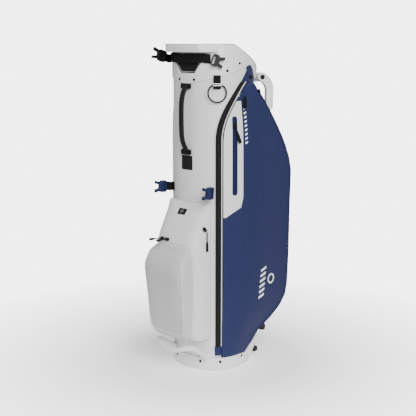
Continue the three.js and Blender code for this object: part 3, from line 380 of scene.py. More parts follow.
def refined(name, node, edge=0.8, smooth_angle=35, segments=2):
    """The moulded shape of a node with rounded edges and smooth walls."""
    obj = smoothed(node_copy(name, node), smooth_angle)
    if edge:
        soften(obj, edge, segments, smooth_angle)
    return obj


def joined(name, *objects):
    """One object from several, each with its modifiers applied first."""
    graph = bpy.context.evaluated_depsgraph_get()
    work = bmesh.new()
    for obj in objects:
        mesh = bpy.data.meshes.new_from_object(obj.evaluated_get(graph))
        work.from_mesh(mesh)
        bpy.data.meshes.remove(mesh)
        bpy.data.objects.remove(obj)
    mesh = bpy.data.meshes.new(name)
    work.to_mesh(mesh)
    work.free()
    return linked(name, mesh)


def mirrored(name, obj):
    """A copy on the other side of the bag, with its faces turned out again."""
    mesh = evaluated(obj)
    mesh.name = name
    mesh.vertices.foreach_set("co", (read(mesh) * (-1, 1, 1)).ravel())
    mesh.flip_normals()
    return linked(name, mesh)


def done(obj, material, body=BAG, replaces=""):
    """Gives a piece its finish, its body and the node that it stands for."""
    obj.data.materials.clear()
    obj.data.materials.append(FINISHES[material])
    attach(obj, body)
    if replaces:
        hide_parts(replaces)
    return obj


def done_pair(right, material, replaces=""):
    """Finishes a right piece and its mirrored twin, whose names, and those of their nodes, say left for right."""
    twin = mirrored(right.name.replace("right", "left"), right)
    done(right, material, replaces=replaces)
    done(twin, material, replaces=replaces.replace("right", "left"))
    return right, twin


def stitches(name, path, out, pitch=4.0, length=2.7, radius=0.42):
    """A row of short threads along a seam: each is a six-sided grain that is thin at its ends and sinks there."""
    path = np.asarray(path, float)
    span = np.linalg.norm(np.diff(path, axis=0), axis=1).sum()
    count = max(2, int(span / pitch))
    fine = respaced(path, count * 2 + 1)
    out = np.broadcast_to(np.asarray(out, float), path.shape)
    normals = unit(respaced(out + 1e-9 * path, count * 2 + 1)) if len(out) == len(path) else out
    index = np.arange(count) * 2 + 1
    centre, along, normal = fine[index], unit(fine[index + 1] - fine[index - 1]), unit(normals[index])
    normal = unit(normal - along * np.sum(normal * along, axis=1, keepdims=True))
    side = np.cross(along, normal)
    t = np.array([-0.5, -0.25, 0.25, 0.5])
    fat = np.array([0.35, 1.0, 1.0, 0.35]) * radius
    sink = np.array([-0.5, 0.0, 0.0, -0.5]) * radius
    turn = np.linspace(0, 2 * np.pi, 6, endpoint=False)
    ring = np.stack([np.cos(turn), np.sin(turn)], axis=-1)
    fat = fat[None, :, None, None]
    points = (
        centre[:, None, None]
        + along[:, None, None] * (t * length)[None, :, None, None]
        + normal[:, None, None] * (sink[None, :, None, None] + fat * ring[None, None, :, 1, None])
        + side[:, None, None] * fat * ring[None, None, :, 0, None]
    )
    one = np.array(grid_faces(4, 6, False, True))
    body = (one[None] + np.arange(count)[:, None, None] * 24).reshape(-1, 4).tolist()
    ends = np.concatenate([np.arange(6)[None, ::-1], np.arange(18, 24)[None]])
    body += (ends[None] + np.arange(count)[:, None, None] * 24).reshape(-1, 6).tolist()
    return face_out(new_object(name, points, body))


def cast(path, obj, lift, way=(-1, 0, 0)):
    """Path points carried straight along one direction onto a piece's skin and lifted off it, with its normals."""
    tree = BVHTree.FromObject(obj, bpy.context.evaluated_depsgraph_get())
    hits = [tree.ray_cast((p * MM).tolist(), way) for p in np.asarray(path, float)]
    hits = [h if h[0] is not None else tree.find_nearest((p * MM).tolist()) for h, p in zip(hits, path)]
    place = np.array([h[0] for h in hits]) / MM
    normal = np.array([h[1] for h in hits])
    return place + normal * lift, normal


def settled(path, obj, lift):
    """Path points moved onto the nearest place of a piece's skin and lifted off it, with the skin's normals."""
    tree = BVHTree.FromObject(obj, bpy.context.evaluated_depsgraph_get())
    hits = [tree.find_nearest((p * MM).tolist()) for p in np.asarray(path, float)]
    place = np.array([h[0] for h in hits]) / MM
    normal = np.array([h[1] for h in hits])
    return place + normal * lift, normal


# ------------------------------------------------------------------ shader maths
class Wire:
    """One output socket that can be used in plain arithmetic: each operator adds its Math node."""

    def __init__(self, finish, socket):
        self.finish, self.socket = finish, socket

    def math(self, operation, *others):
        return self.finish.make("ShaderNodeMath", {"operation": operation}, {i: v for i, v in enumerate(others)})

    def __add__(self, other):
        return self.math("ADD", self, other)

    def __radd__(self, other):
        return self.math("ADD", other, self)

    def __sub__(self, other):
        return self.math("SUBTRACT", self, other)

    def __rsub__(self, other):
        return self.math("SUBTRACT", other, self)

    def __mul__(self, other):
        return self.math("MULTIPLY", self, other)

    def __rmul__(self, other):
        return self.math("MULTIPLY", other, self)

    def __truediv__(self, other):
        return self.math("DIVIDE", self, other)

    def __pow__(self, other):
        return self.math("POWER", self, other)

    def __gt__(self, other):
        return self.math("GREATER_THAN", self, other)

    def __abs__(self):
        return self.math("ABSOLUTE", self)

    def sin(self):
        return self.math("SINE", self)

    def most(self, other):
        return self.math("MAXIMUM", self, other)

    def least(self, other):
        return self.math("MINIMUM", self, other)

    def fraction(self):
        return self.math("FRACT", self)

    def held(self):
        """The value kept between 0 and 1."""
        return self.most(0.0).least(1.0)

    def pick(self, low, high):
        """low where this is 0 and high where it is 1."""
        return low + (high - low) * self


class Finish:
    """One material: make() adds any node, and close() puts the last values on its shader."""

    def __init__(self, name):
        self.material = bpy.data.materials.new(name)
        self.material.use_nodes = True
        self.tree = self.material.node_tree
        self.shader = next(n for n in self.tree.nodes if n.type == "BSDF_PRINCIPLED")

    def make(self, kind, settings=None, values=None, out=0):
        """Adds a node with its settings first, then the values or links of its sockets."""
        node = self.tree.nodes.new(kind)
        for key, value in (settings or {}).items():
            setattr(node, key, value)
        for key, value in (values or {}).items():
            self.feed(node.inputs[key], value)
        return Wire(self, node.outputs[out])

    def feed(self, socket, value):
        if isinstance(value, Wire):
            self.tree.links.new(value.socket, socket)
        else:
            socket.default_value = value

    def axes(self, output="Object"):
        """The three parts of one kind of texture coordinate."""
        place = self.make("ShaderNodeTexCoord", out=output)
        node = self.make("ShaderNodeSeparateXYZ", values={0: place}).socket.node
        return [Wire(self, s) for s in node.outputs]

    def noise(self, scale, detail=3.0):
        place = self.make("ShaderNodeTexCoord", out="Object")
        return self.make("ShaderNodeTexNoise", values={"Vector": place, "Scale": scale, "Detail": detail}, out="Fac")

    def blend(self, low, high, factor):
        """The colour low at factor 0 and high at 1."""
        values = {"Factor": factor, 6: (*low, 1.0), 7: (*high, 1.0)}
        node = self.make("ShaderNodeMix", {"data_type": "RGBA"}, values).socket.node
        return Wire(self, node.outputs[2])

    def close(self, colour, roughness, height=None, depth=0.2, **constants):
        """Puts colour, roughness, relief (its depth in millimetres) and constant values on the shader."""
        self.feed(self.shader.inputs["Base Color"], colour if isinstance(colour, Wire) else (*colour, 1.0))
        self.feed(self.shader.inputs["Roughness"], roughness)
        for key, value in constants.items():
            self.feed(self.shader.inputs[key.replace("_", " ")], value)
        if height is not None:
            normal = self.make("ShaderNodeBump", values={"Strength": 1.0, "Distance": depth * MM, "Height": height})
            self.feed(self.shader.inputs["Normal"], normal)
        return self.material


def shades(colour, spread):
    """A darker and a lighter colour, each by the spread."""
    return tuple(c * (1 - spread) for c in colour), tuple(c * (1 + spread) for c in colour)


def cloth_lines(finish):
    """Two lengths over the cloth, whichever way it faces: the level one and the upright one."""
    x, y, z = finish.axes()
    nx, ny, nz = finish.axes("Normal")
    level = (abs(nx) > abs(ny)).pick(x, y)
    upright = (abs(nz) > 0.8).pick(z, y)
    return level, upright


def woven_finish(name, colour, pitch, roughness, relief=0.12, ripstop=0.0, mottle=0.07, sheen=0.2):
    """Plain weave: the product of two sines one thread apart, with slow patches of tone and roughness and, for
    ripstop, a raised thread every few millimetres both ways."""
    m = Finish(name)
    level, upright = cloth_lines(m)
    turn = 2 * math.pi / (pitch * MM)
    weave = (level * turn).sin() * (upright * turn).sin()
    grain, patch = m.noise(900.0, 2.0), m.noise(9.0, 4.0)
    height = weave * 0.5 + grain * 0.5
    mark = weave * 0.12 + (grain - 0.5) * 0.35 + (patch - 0.5) * 0.9
    if ripstop:
        step = math.pi / (ripstop * MM)
        lines = (abs((level * step).sin()) ** 40.0).most(abs((upright * step).sin()) ** 40.0)
        height = height + lines * 1.2
        mark = mark + lines * 0.35
    low, high = shades(colour, mottle)
    tone = m.blend(low, high, (mark + 0.5).held())
    rough = (patch - 0.5) * 0.16 + (grain - 0.5) * 0.1 + roughness
    return m.close(tone, rough, height, relief, Sheen_Weight=sheen, Sheen_Roughness=0.5, Specular_IOR_Level=0.35)


def webbing_finish(name, colour, roughness=0.72):
    """Ribs along the strap and short weft floats across it, from the strap's own lengths."""
    m = Finish(name)
    u, v, _ = m.axes("UV")
    ribs = (u * (2 * math.pi / (1.7 * MM))).sin()
    floats = (v * (2 * math.pi / (1.4 * MM)) + ribs * 1.6).sin()
    grain = m.noise(700.0, 2.0)
    low, high = shades(colour, 0.4)
    tone = m.blend(low, high, (floats * 0.18 + ribs * 0.14 + (grain - 0.5) * 0.8 + 0.5).held())
    height = ribs * 0.5 + floats * 0.5 + grain * 0.6
    return m.close(tone, (grain - 0.5) * 0.2 + roughness, height, 0.22, Specular_IOR_Level=0.18)


def moulded_finish(name, colour, roughness, relief=0.05, mottle=0.035, scale=420.0, **constants):
    """Moulded plastic or rubber: fine spark texture, slow sheen changes and a little colour drift."""
    m = Finish(name)
    fine, slow = m.noise(scale * 4, 3.0), m.noise(14.0, 4.0)
    scuff = m.noise(120.0, 6.0)
    marks = (scuff - 0.62).most(0.0) * 2.2
    low, high = shades(colour, mottle)
    tone = m.blend(low, high, ((slow - 0.5) * 1.4 + (fine - 0.5) * 0.5 + 0.5 - marks * 0.5).held())
    rough = (slow - 0.5) * 0.14 + marks * 0.25 + roughness
    return m.close(tone, rough, fine * 0.8 + scuff * 0.4, relief, **constants)


def grip_finish(name, colour, roughness=0.62):
    """Soft grip: a fine diamond knurl, worn smoother in places."""
    m = Finish(name)
    level, upright = cloth_lines(m)
    turn = 2 * math.pi / (2.2 * MM)
    knurl = ((level + upright) * turn).sin() * ((level - upright) * turn).sin()
    slow = m.noise(30.0, 3.0)
    low, high = shades(colour, 0.25)
    tone = m.blend(low, high, (knurl * 0.25 + (slow - 0.5) * 0.9 + 0.5).held())
    return m.close(tone, (slow - 0.5) * 0.2 + roughness, knurl * slow, 0.3, Specular_IOR_Level=0.2)


def metal_finish(name, colour, roughness, metallic):
    """Drawn metal: long fine scratches along z."""
    m = Finish(name)
    x, y, z = m.axes()
    streak = m.make("ShaderNodeCombineXYZ", values={0: x * 900.0, 1: y * 900.0, 2: z * 12.0})
    lines = m.make("ShaderNodeTexNoise", values={"Vector": streak, "Scale": 1.0, "Detail": 4.0}, out="Fac")
    low, high = shades(colour, 0.12)
    tone = m.blend(low, high, lines)
    return m.close(tone, (lines - 0.5) * 0.22 + roughness, lines, 0.02, Metallic=metallic)


def zip_finish(name, colour):
    """Zip tape: a fine herringbone, with the coil's ribs showing through along the middle."""
    m = Finish(name)
    u, v, _ = m.axes("UV")
    near = (abs(u) * -420.0 + 1.0).most(0.0)
    coil = (v * (2 * math.pi / (2.0 * MM))).sin() * near
    bone = ((v + abs(((u / (3 * MM)).fraction() - 0.5)) * (3 * MM)) * (2 * math.pi / (1.1 * MM))).sin()
    grain = m.noise(800.0, 2.0)
    low, high = shades(colour, 0.35)
    tone = m.blend(low, high, (bone * 0.15 + coil * 0.3 + (grain - 0.5) * 0.7 + 0.45).held())
    height = bone * 0.4 + coil * 1.2 + grain * 0.4
    return m.close(tone, (grain - 0.5) * 0.15 + 0.6, height, 0.2, Specular_IOR_Level=0.2)


FINISHES = {}


def make_finishes(c):
    """Every finish, under the name of its record slot or of its own use."""
    white, navy, black = tuple(c.white_cloth), tuple(c.navy_cloth), tuple(c.black)
    FINISHES.update(
        white_fabric=woven_finish("white_coated_cloth", white, 0.9, 0.66, 0.07, mottle=0.03),
        # The ball pocket's finish is the white cloth made greyer: painted shade for its face, which turns from the
        # light.
        pocket_fabric=woven_finish("ball_pocket_painted_shade_cloth", tuple(c.pocket_painted_shade_cloth), 0.9, 0.66, 0.07, mottle=0.03),
        white_moulded=moulded_finish("white_moulded", tuple(c.white_moulded), 0.42, 0.04),
        navy_fabric=woven_finish("navy_ripstop", navy, 0.8, 0.7, 0.1, ripstop=5.0, mottle=0.1, sheen=0.05),
        navy_moulded=moulded_finish("navy_moulded", tuple(v * 0.9 for v in navy), 0.32),
        black_webbing=webbing_finish("black_webbing", tuple(v * 1.1 for v in black)),
        black_moulded=moulded_finish("black_moulded", black, 0.5, Specular_IOR_Level=0.2),
        charcoal_grip=grip_finish("charcoal_grip", tuple(c.charcoal)),
        black_metal=metal_finish("black_painted_metal", black, 0.34, 0.4),
        bright_steel=metal_finish("bright_steel", (0.56, 0.56, 0.57), 0.28, 1.0),
        grey_lining=woven_finish("grey_lining", (0.075, 0.08, 0.09), 1.1, 0.8, 0.12),
        black_rubber=moulded_finish("black_rubber", tuple(v * 0.9 for v in black), 0.7, 0.1, 0.12, 260.0),
        zip_tape=zip_finish("zip_tape", tuple(v * 1.5 for v in black)),
        navy_zip=zip_finish("navy_zip_tape", tuple(v * 0.8 for v in navy)),
        white_thread=moulded_finish("white_thread", tuple(v * 0.95 for v in white), 0.6, 0.03),
        black_cord=moulded_finish("black_cord", black, 0.6, 0.1),
        white_print=moulded_finish("white_print", (0.8, 0.8, 0.8), 0.5, 0.02),
        black_padding=woven_finish("black_mesh_padding", tuple(v * 1.3 for v in black), 1.8, 0.8, 0.3, mottle=0.2),
    )


# ------------------------------------------------------------------ sizes and colours a user would change
def number_value(name, about, value, low=0.0, **more):
    """A number that a user may change."""
    return bpy.props.FloatProperty(name=name, description=about, default=value, min=low, **more)


def length_value(name, about, value, low, high):
    """A length in metres that a user may change."""
    return number_value(name, about, value, low, max=high, unit="LENGTH")


def colour_value(name, about, value):
    """A colour that a user may change."""
    return bpy.props.FloatVectorProperty(
        name=name, description=about, default=value, size=3, min=0, max=1, subtype="COLOR"
    )


class BagColours(bpy.types.PropertyGroup):
    white_cloth: colour_value("White cloth", "Colour of the coated white cloth", (0.64, 0.645, 0.65))
    white_moulded: colour_value("White plastic", "Colour of collar, base and leg heads", (0.68, 0.68, 0.675))
    # A greyer copy of the white cloth: painted shade on the ball pocket's face.
    pocket_painted_shade_cloth: colour_value("Ball pocket painted shade", "White cloth made greyer to paint the shade on the ball pocket's face", (0.47, 0.472, 0.475))
    navy_cloth: colour_value("Navy cloth", "Colour of the garment pockets", (0.0038, 0.0083, 0.056))
    black: colour_value("Black", "Colour of webbing, zips and black plastic", (0.0024, 0.0024, 0.0026))
    charcoal: colour_value("Charcoal", "Colour of the handle grip and the strap plate", (0.0068, 0.0068, 0.0072))


class BagSewing(bpy.types.PropertyGroup):
    stitch_pitch: length_value("Stitch pitch", "Distance from one stitch to the next", 0.004, 0.002, 0.01)
    piping: length_value("Piping radius", "Radius of the cord in the sewn edges", 0.0014, 0.0005, 0.004)
    fold: length_value("Fold depth", "Depth of the slow folds in the cloth", 0.0008, 0.0, 0.004)
    swell: length_value("Pocket swell", "Most that a padded pocket may swell", 0.0045, 0.0, 0.02)
    pressure: number_value("Pressure", "Air pressure in the padded pieces", 4.0)


class BagStage(bpy.types.PropertyGroup):
    key: number_value("Key light", "Power of the large light", 205.0, unit="POWER")
    fill: number_value("Fill light", "Power of the second light", 10.0, unit="POWER")
    backdrop: number_value("Backdrop", "Brightness added behind the bag", 4.5)
    sky: number_value("Sky", "Strength of the even light all round", 0.5)


def sewing():
    """The sewing sizes of this scene: metres, as Blender keeps them."""
    return bpy.context.scene.bag_sewing


def folds(points, seed):
    """Slow folds: a sum of four sine waves over angle and height, worth one either way at most."""
    x, y, z = np.moveaxis(points, -1, 0)
    around = np.arctan2(x, -y) * 100
    rng = np.random.default_rng(seed)
    total = np.zeros_like(z)
    for _ in range(4):
        kx, kz, phase = rng.uniform(0.008, 0.03), rng.uniform(0.01, 0.04), rng.uniform(0, 6.28)
        total += np.sin(kx * around + kz * z + phase)
    return total / 4


def grid_normals(points):
    """Square to both directions of a grid, and away from the tube's axis."""
    du, dv = np.gradient(points, axis=1), np.gradient(points, axis=0)
    normal = unit(np.cross(du, dv))
    outward = np.sum(normal * (points * (1, 1, 0)), axis=-1, keepdims=True)
    return np.where(outward < 0, -normal, normal)


# ------------------------------------------------------------------ shared makers for the pieces
def points_of(obj):
    """An object's points in millimetres."""
    return read(obj.data) / MM


def set_points(obj, points):
    """Moves an object's points to places in millimetres."""
    obj.data.vertices.foreach_set("co", (np.asarray(points) * MM).ravel())
    obj.data.update()


def applied(obj):
    """The same object with its modifiers turned into mesh."""
    graph = bpy.context.evaluated_depsgraph_get()
    graph.update()
    mesh = bpy.data.meshes.new_from_object(obj.evaluated_get(graph))
    obj.modifiers.clear()
    obj.data = mesh
    return obj


def node_slot(node):
    """The material slot that the record gives a node."""
    return next(p["material_slot"] for p in frame["record"]["subparts"] if p["node"] == node)


def tube_height(points):
    """How far points stand off the tube, in millimetres."""
    angle = np.degrees(np.arctan2(points[:, 0], -points[:, 1]))
    wall = np.linalg.norm(tube(angle, points[:, 2])[:, :2], axis=1)
    return np.linalg.norm(points[:, :2], axis=1) - wall


def sewn(name, node, cell, depth, seed):
    """A node's shell cut into small cells, whose skin is moved along its normals by the slow folds."""
    obj = node_copy(name, node)
    work = bmesh.new()
    work.from_mesh(obj.data)
    bmesh.ops.triangulate(work, faces=work.faces)
    for _ in range(5):
        long_edges = [e for e in work.edges if e.calc_length() > cell * MM]
        if long_edges:
            bmesh.ops.subdivide_edges(work, edges=long_edges, cuts=1, use_grid_fill=True)
            bmesh.ops.triangulate(work, faces=[f for f in work.faces if len(f.verts) > 3])
    work.to_mesh(obj.data)
    work.free()
    points = points_of(obj)
    set_points(obj, points + read(obj.data, "normal") * folds(points, seed)[:, None] * depth)
    return smoothed(obj, 50)


def swollen(name, node, voxel, cap, hold):
    """A node's solid as a stuffed bag: even cells, a cloth blown up from a slightly smaller shape with no gravity,
    no point further than the cap from where it began, held where hold says, and then one subdivision."""
    obj = node_copy(name, node)
    cells = obj.modifiers.new("cells", "REMESH")
    cells.mode = "VOXEL"
    cells.voxel_size = voxel * MM
    applied(obj)
    start = points_of(obj)
    free = 1 - smoothstep(hold(start), 0, 1)
    set_points(obj, start - read(obj.data, "normal") * 1.2 * free[:, None])
    blow = obj.modifiers.new("blow", "CLOTH")
    blow.settings.use_pressure = True
    blow.settings.uniform_pressure_force = sewing().pressure
    blow.settings.effector_weights.gravity = 0
    blow.settings.tension_stiffness = 30
    blow.settings.bending_stiffness = 2
    for step in range(1, 21):
        bpy.context.scene.frame_set(step)
    applied(obj)
    bpy.context.scene.frame_set(1)
    move = points_of(obj) - start
    length = np.maximum(np.linalg.norm(move, axis=1, keepdims=True), 1e-9)
    set_points(obj, start + move * np.minimum(1, cap / length) * free[:, None])
    obj.data.polygons.foreach_set("use_smooth", np.ones(len(obj.data.polygons), bool))
    finer = obj.modifiers.new("finer", "SUBSURF")
    finer.levels = finer.render_levels = 1
    return applied(obj)


def turned(name, node, sides=32, lip=0.6):
    """A round node made again as a true lathe: its levels along its own long axis with the widest radius at each."""
    points = points_of(frame["nodes"][node])
    centre = (points.min(axis=0) + points.max(axis=0)) / 2
    axis = np.linalg.svd(points - points.mean(axis=0), full_matrices=False)[2][0]
    axis = axis if axis[2] > 0 else -axis
    height = (points - centre) @ axis
    away = np.linalg.norm(points - centre - height[:, None] * axis, axis=1)
    levels = np.unique(np.round(height * 2) / 2)
    radius = np.array([away[np.abs(height - h) < 0.6].max() for h in levels])
    profile = [(0.0, levels[0]), (max(radius[0] - lip, 0.1), levels[0])]
    profile += [(r, h) for r, h in zip(radius, levels)]
    profile[2] = (radius[0], levels[0] + lip)
    profile[-1] = (radius[-1], levels[-1] - lip)
    profile += [(max(radius[-1] - lip, 0.1), levels[-1]), (0.0, levels[-1])]
    return lathe(name, profile, centre, axis, sides)


def plain_nodes(*names, edge=0.5, angle=35, body=BAG, finish=None):
    """Refined copies of several nodes, each in its own record slot."""
    for node in names:
        obj = refined(node + "_skin", node, edge, angle)
        done(obj, finish or node_slot(node), body, node)


def rivets(name, places, radius=3.8):
    """Domed rivet heads set square on the skin at (angle, height, stand-off) places."""
    heads = []
    for angle, height, grow in places:
        at = tube(angle, height, grow)
        out = unit(tube(angle, height, grow + 1) - at)
        profile = [(0, -0.6), (radius, -0.6), (radius, 0.2), (radius * 0.8, 1.0), (radius * 0.35, 1.25), (0, 1.3)]
        heads.append(lathe(name + "_head", profile, at, out, 20))
    return joined(name, *heads)


# ------------------------------------------------------------------ the tube's walls and zip bands
def wall_grid(low_z, high_z, step, low, high, columns, grow, depth, seed):
    """Points of a wall between two edge lines, moved by slow folds that fade towards both edges."""
    z = np.arange(low_z, high_z + step / 2, step)[:, None]
    share = np.linspace(0, 1, columns)[None]
    angle = mix(low(z), high(z), share)
    points = tube(angle, under_collar(angle, z), grow)
    fade = np.sin(np.pi * share) ** 0.5
    return points + grid_normals(points) * (folds(points, seed) * depth * fade)[..., None]


def seam_path(edge, low, high, grow, count=160):
    """A line up the tube along an edge, standing off by grow."""
    z = np.linspace(low, high, count)
    angle = edge(z)
    return tube(angle, under_collar(angle, z), grow)


def build_walls():
    """The front, side and rear walls, and the zip band between front and side with its piping and stitches."""
    s = sewing()
    fold, pitch = s.fold / MM, s.stitch_pitch / MM
    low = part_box("front_panel")[0][2] / MM
    rear_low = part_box("rear_panel")[0][2] / MM
    foot_low, band_low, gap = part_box("main_zip_right")[0][2] / MM, 68, 0.25
    rows = (low, PANEL_TOP, 4.0)
    front = wall_grid(*rows, lambda z: -tip_edge(z) + gap, lambda z: tip_edge(z) - gap, 73, 0, fold, 3)
    done(shell("front_wall", front, 2.0), "white_fabric", replaces="front_panel")
    side_low = lambda z: np.where(z < BAND_TOP, band_edge(z, 1), tip_edge(z)) + gap
    seam = lambda z: REAR_SEAM + 0 * z
    side = wall_grid(*rows, side_low, lambda z: seam(z) - gap, 41, 0, fold, 5)
    done_pair(shell("side_wall_right", side, 2.0), "navy_fabric", replaces="side_panel_right")
    rear = wall_grid(rear_low, PANEL_TOP, 4.0, seam, lambda z: 360 - seam(z), 49, 0, fold, 7)
    done(shell("rear_wall", rear, 2.0), "white_fabric", replaces="rear_panel")
    edges = (lambda z: band_edge(z, -1) + gap, lambda z: band_edge(z, 1) - gap)
    band = wall_grid(band_low, BAND_TOP - 0.8, 2.0, *edges, 15, 0.9, 0, 1)
    foot = wall_grid(foot_low, band_low - 0.6, 2.0, *edges, 15, 0.6, 0, 1)
    done_pair(shell("band_foot_right", foot, 1.6), "navy_fabric")
    for hand, way in (("right", 1), ("left", -1)):
        tape = shell("zip_band_" + hand, band * (way, 1, 1), 1.6)
        done(tape, "zip_tape", replaces="main_zip_" + hand)
    coil = seam_path(lambda z: band_edge(z, 0), band_low + 2, BAND_TOP - 6, 1.7, 260)
    pieces = [("zip_coil_right", coil, slab_section(5.6, 2.0, 0.8), "zip_tape", "black_webbing")]
    cord = round_section(s.piping / MM)
    for side, label in ((-1, "front"), (1, "rear")):
        line = seam_path(lambda z: band_edge(z, side), band_low + 1, BAND_TOP - 2, 0.9)
        pieces.append(("band_piping_" + label + "_right", line, cord, "white_thread", "white_fabric"))
    tip = seam_path(tip_edge, BAND_TOP, PANEL_TOP - 24, 0.9, 20)
    pieces.append(("tip_piping_right", tip, cord, "white_thread", "white_fabric"))
    for name, path, section, finish, slot in pieces:
        done_pair(sweep(name, path, section, (0.5, 0.8, 0)), finish)
    for side, label in ((-1, "front"), (1, "rear")):
        line = seam_path(lambda z: band_edge(z, side) - side * 2.2, band_low + 3, BAND_TOP - 4, 1.3, 300)
        thread = stitches("band_stitches_" + label + "_right", line, unit(line * (1, 1, 0)), pitch)
        done_pair(thread, "black_cord")


# ------------------------------------------------------------------ garment pockets and what is sewn on the right one
def pocket_rear(z):
    """The rear edge of a garment pocket: straight with a small slant, and drawn in towards both ends."""
    above, below = np.clip((z - 526) / 264, 0, 1), np.clip((206 - z) / 111, 0, 1)
    toe = np.maximum(0, 95 - z)
    drop = 168 * above**1.5 + 115 * below**2.4 + toe * 0.95
    x = 117 - 9 * above**2 - 7.5 * below**2 - toe * 0.1
    return np.stack([x, 198 + np.clip((z - 206) * 0.022, 0, 7) - drop, z], -1)


def marked(name, target, outlines, lift=0.35):
    """Flat printed bars on a piece's skin: each is a small grid between four (y, z) corners, laid on the cloth."""
    bars = []
    for corners in outlines:
        a, b, c, d = (np.array([SIDE_ON, y, z]) for y, z in corners)
        u, v = np.meshgrid(np.linspace(0, 1, 14), np.linspace(0, 1, 4))
        u, v = u[..., None], v[..., None]
        grid = mix(mix(a, b, u), mix(d, c, u), v)
        place, _ = cast(grid.reshape(-1, 3), target, lift)
        bars.append(shell(name + "_bar", place.reshape(grid.shape), 0.25))
    return done(joined(name, *bars), "white_print")


def build_side_pockets():
    """Both garment pockets with piping and stitches, and what is sewn or printed on the right one."""
    s = sewing()
    fold, pitch = s.fold / MM, s.stitch_pitch / MM
    skin = sewn("garment_pocket_right", "apparel_pocket_right", 7.0, fold * 2.6, 11)
    for pocket in done_pair(skin, "navy_fabric", replaces="apparel_pocket_right"):
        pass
    edge = pocket_rear(np.linspace(60, 752, 150)) + (2.0, 0, 0)
    place, _ = settled(edge, skin, 0.2)
    cord = round_section(s.piping / MM * 1.1)
    done_pair(sweep("pocket_piping_right", respaced(place, 180), cord, (1, 0, 0)), "navy_moulded")
    place, normal = settled(edge - (0, 9.0, 0), skin, 0.2)
    done_pair(stitches("pocket_stitches_right", place, normal, pitch), "navy_moulded")
    tab = rounded([(-6, -3.5), (6, -3.5), (6, 3.5), (-6, 3.5)], 2)
    ends = {"low": (pocket_rear(749) + (0, 1, 0), (0, -0.6, 1)), "high": (tube(121, 786, 1.6), (0, 0.9, -0.3))}
    for label, (at, along) in ends.items():
        nub = flat_part("zip_end_" + label + "_right", [tab], 3, 1.0, at, along, np.cross(along, (1, 0, 0)))
        done_pair(nub, "black_moulded")
    build_accessory_panel(fold, pitch)
    dashes = [[(17, z), (25, z + 3), (25, z + 8), (17, z + 5)] for z in np.arange(613, 712, 11.0)]
    marked("pocket_marks", skin, dashes)
    bars = [[(72 + k * 1.5, z), (94 + k * 1.5, z + 7), (94 + k * 1.5, z + 14), (72 + k * 1.5, z + 7)]
            for k, z in enumerate(np.arange(182, 272, 15.0))]
    marked("pocket_emblem", skin, bars + ring_quads(124, 231, 10, 14.5, 24))
    build_panel_tip(skin)


def build_accessory_panel(fold, pitch):
    """The white panel on the right garment pocket, its stitches and its zip."""
    panel = sewn("accessory_panel_skin", "accessory_panel", 6.0, fold * 0.8, 13)
    done(panel, "white_fabric", replaces="accessory_panel")
    reach, rows = panel_edge(panel).T
    place, normal = cast(np.stack([0 * rows + SIDE_ON, reach - 1.6, rows], -1), panel, 0.15)
    done(stitches("panel_stitches", place, normal, pitch), "white_thread")
    heights = np.linspace(481, 687, 90)
    share = np.clip(np.minimum(heights - 480, 688 - heights) / 7.4, 0.05, 1)
    half = np.sqrt(1 - (1 - share) ** 2)
    place, normal = cast(np.stack([heights * 0 + SIDE_ON, heights * 0 - 17, heights], -1), panel, 1.1)
    tape = loft("valuables_zip_tape", swept_flat(place, normal, slab_section(14.8, 1.4, 0.6), half))
    done(tape, "navy_zip", replaces="valuables_zip")
    place, normal = place[6:-6], normal[6:-6]
    coil = loft("valuables_zip_coil", swept_flat(place + normal * 0.3, normal, slab_section(4.6, 1.2, 0.5)))
    done(coil, "navy_zip")


def build_panel_tip(skin):
    """The sewn tip that leads from the panel's top to the zip band, laid on the pocket's skin."""
    z = np.linspace(722, 751, 24)[:, None]
    start = tube(band_edge(z, 1) + 1, z, 2.2)[..., 1] + 1.5
    y = mix(start, np.maximum(8, start + 0.5), np.linspace(0, 1, 10)[None])
    place, _ = cast(np.stack([0 * y + SIDE_ON, y, z + 0 * y], -1).reshape(-1, 3), skin, 2.5)
    done(shell("panel_tip", place.reshape(24, 10, 3), 1.2), "white_fabric")


def ring_quads(y, z, inner, outer, count):
    """The four-cornered pieces of a flat ring."""
    turn = np.linspace(0, 2 * np.pi, count + 1)
    edge = lambda radius, a: (y + radius * math.cos(a), z + radius * math.sin(a))
    return [[edge(inner, a), edge(outer, a), edge(outer, b), edge(inner, b)] for a, b in zip(turn[:-1], turn[1:])]


def swept_flat(path, normal, section, scale=None):
    """Rings of a flat section carried along a path, always flat on the skin below it."""
    along = unit(np.gradient(path, axis=0))
    across = unit(np.cross(normal, along))
    up = np.cross(along, across)
    scale = np.ones(len(path)) if scale is None else scale
    sx, sy = section[:, 0], section[:, 1]
    k = scale[:, None, None]
    return path[:, None] + k * across[:, None] * sx[None, :, None] + up[:, None] * sy[None, :, None]


def panel_edge(panel):
    """The panel's rearmost y, widest within 6 mm, at each of a row of heights."""
    points = points_of(panel)
    rows = np.linspace(points[:, 2].min() + 3, points[:, 2].max() - 3, 70)
    reach = np.array([points[np.abs(points[:, 2] - z) < 6, 1].max() for z in rows])
    return np.stack([reach, rows], -1)


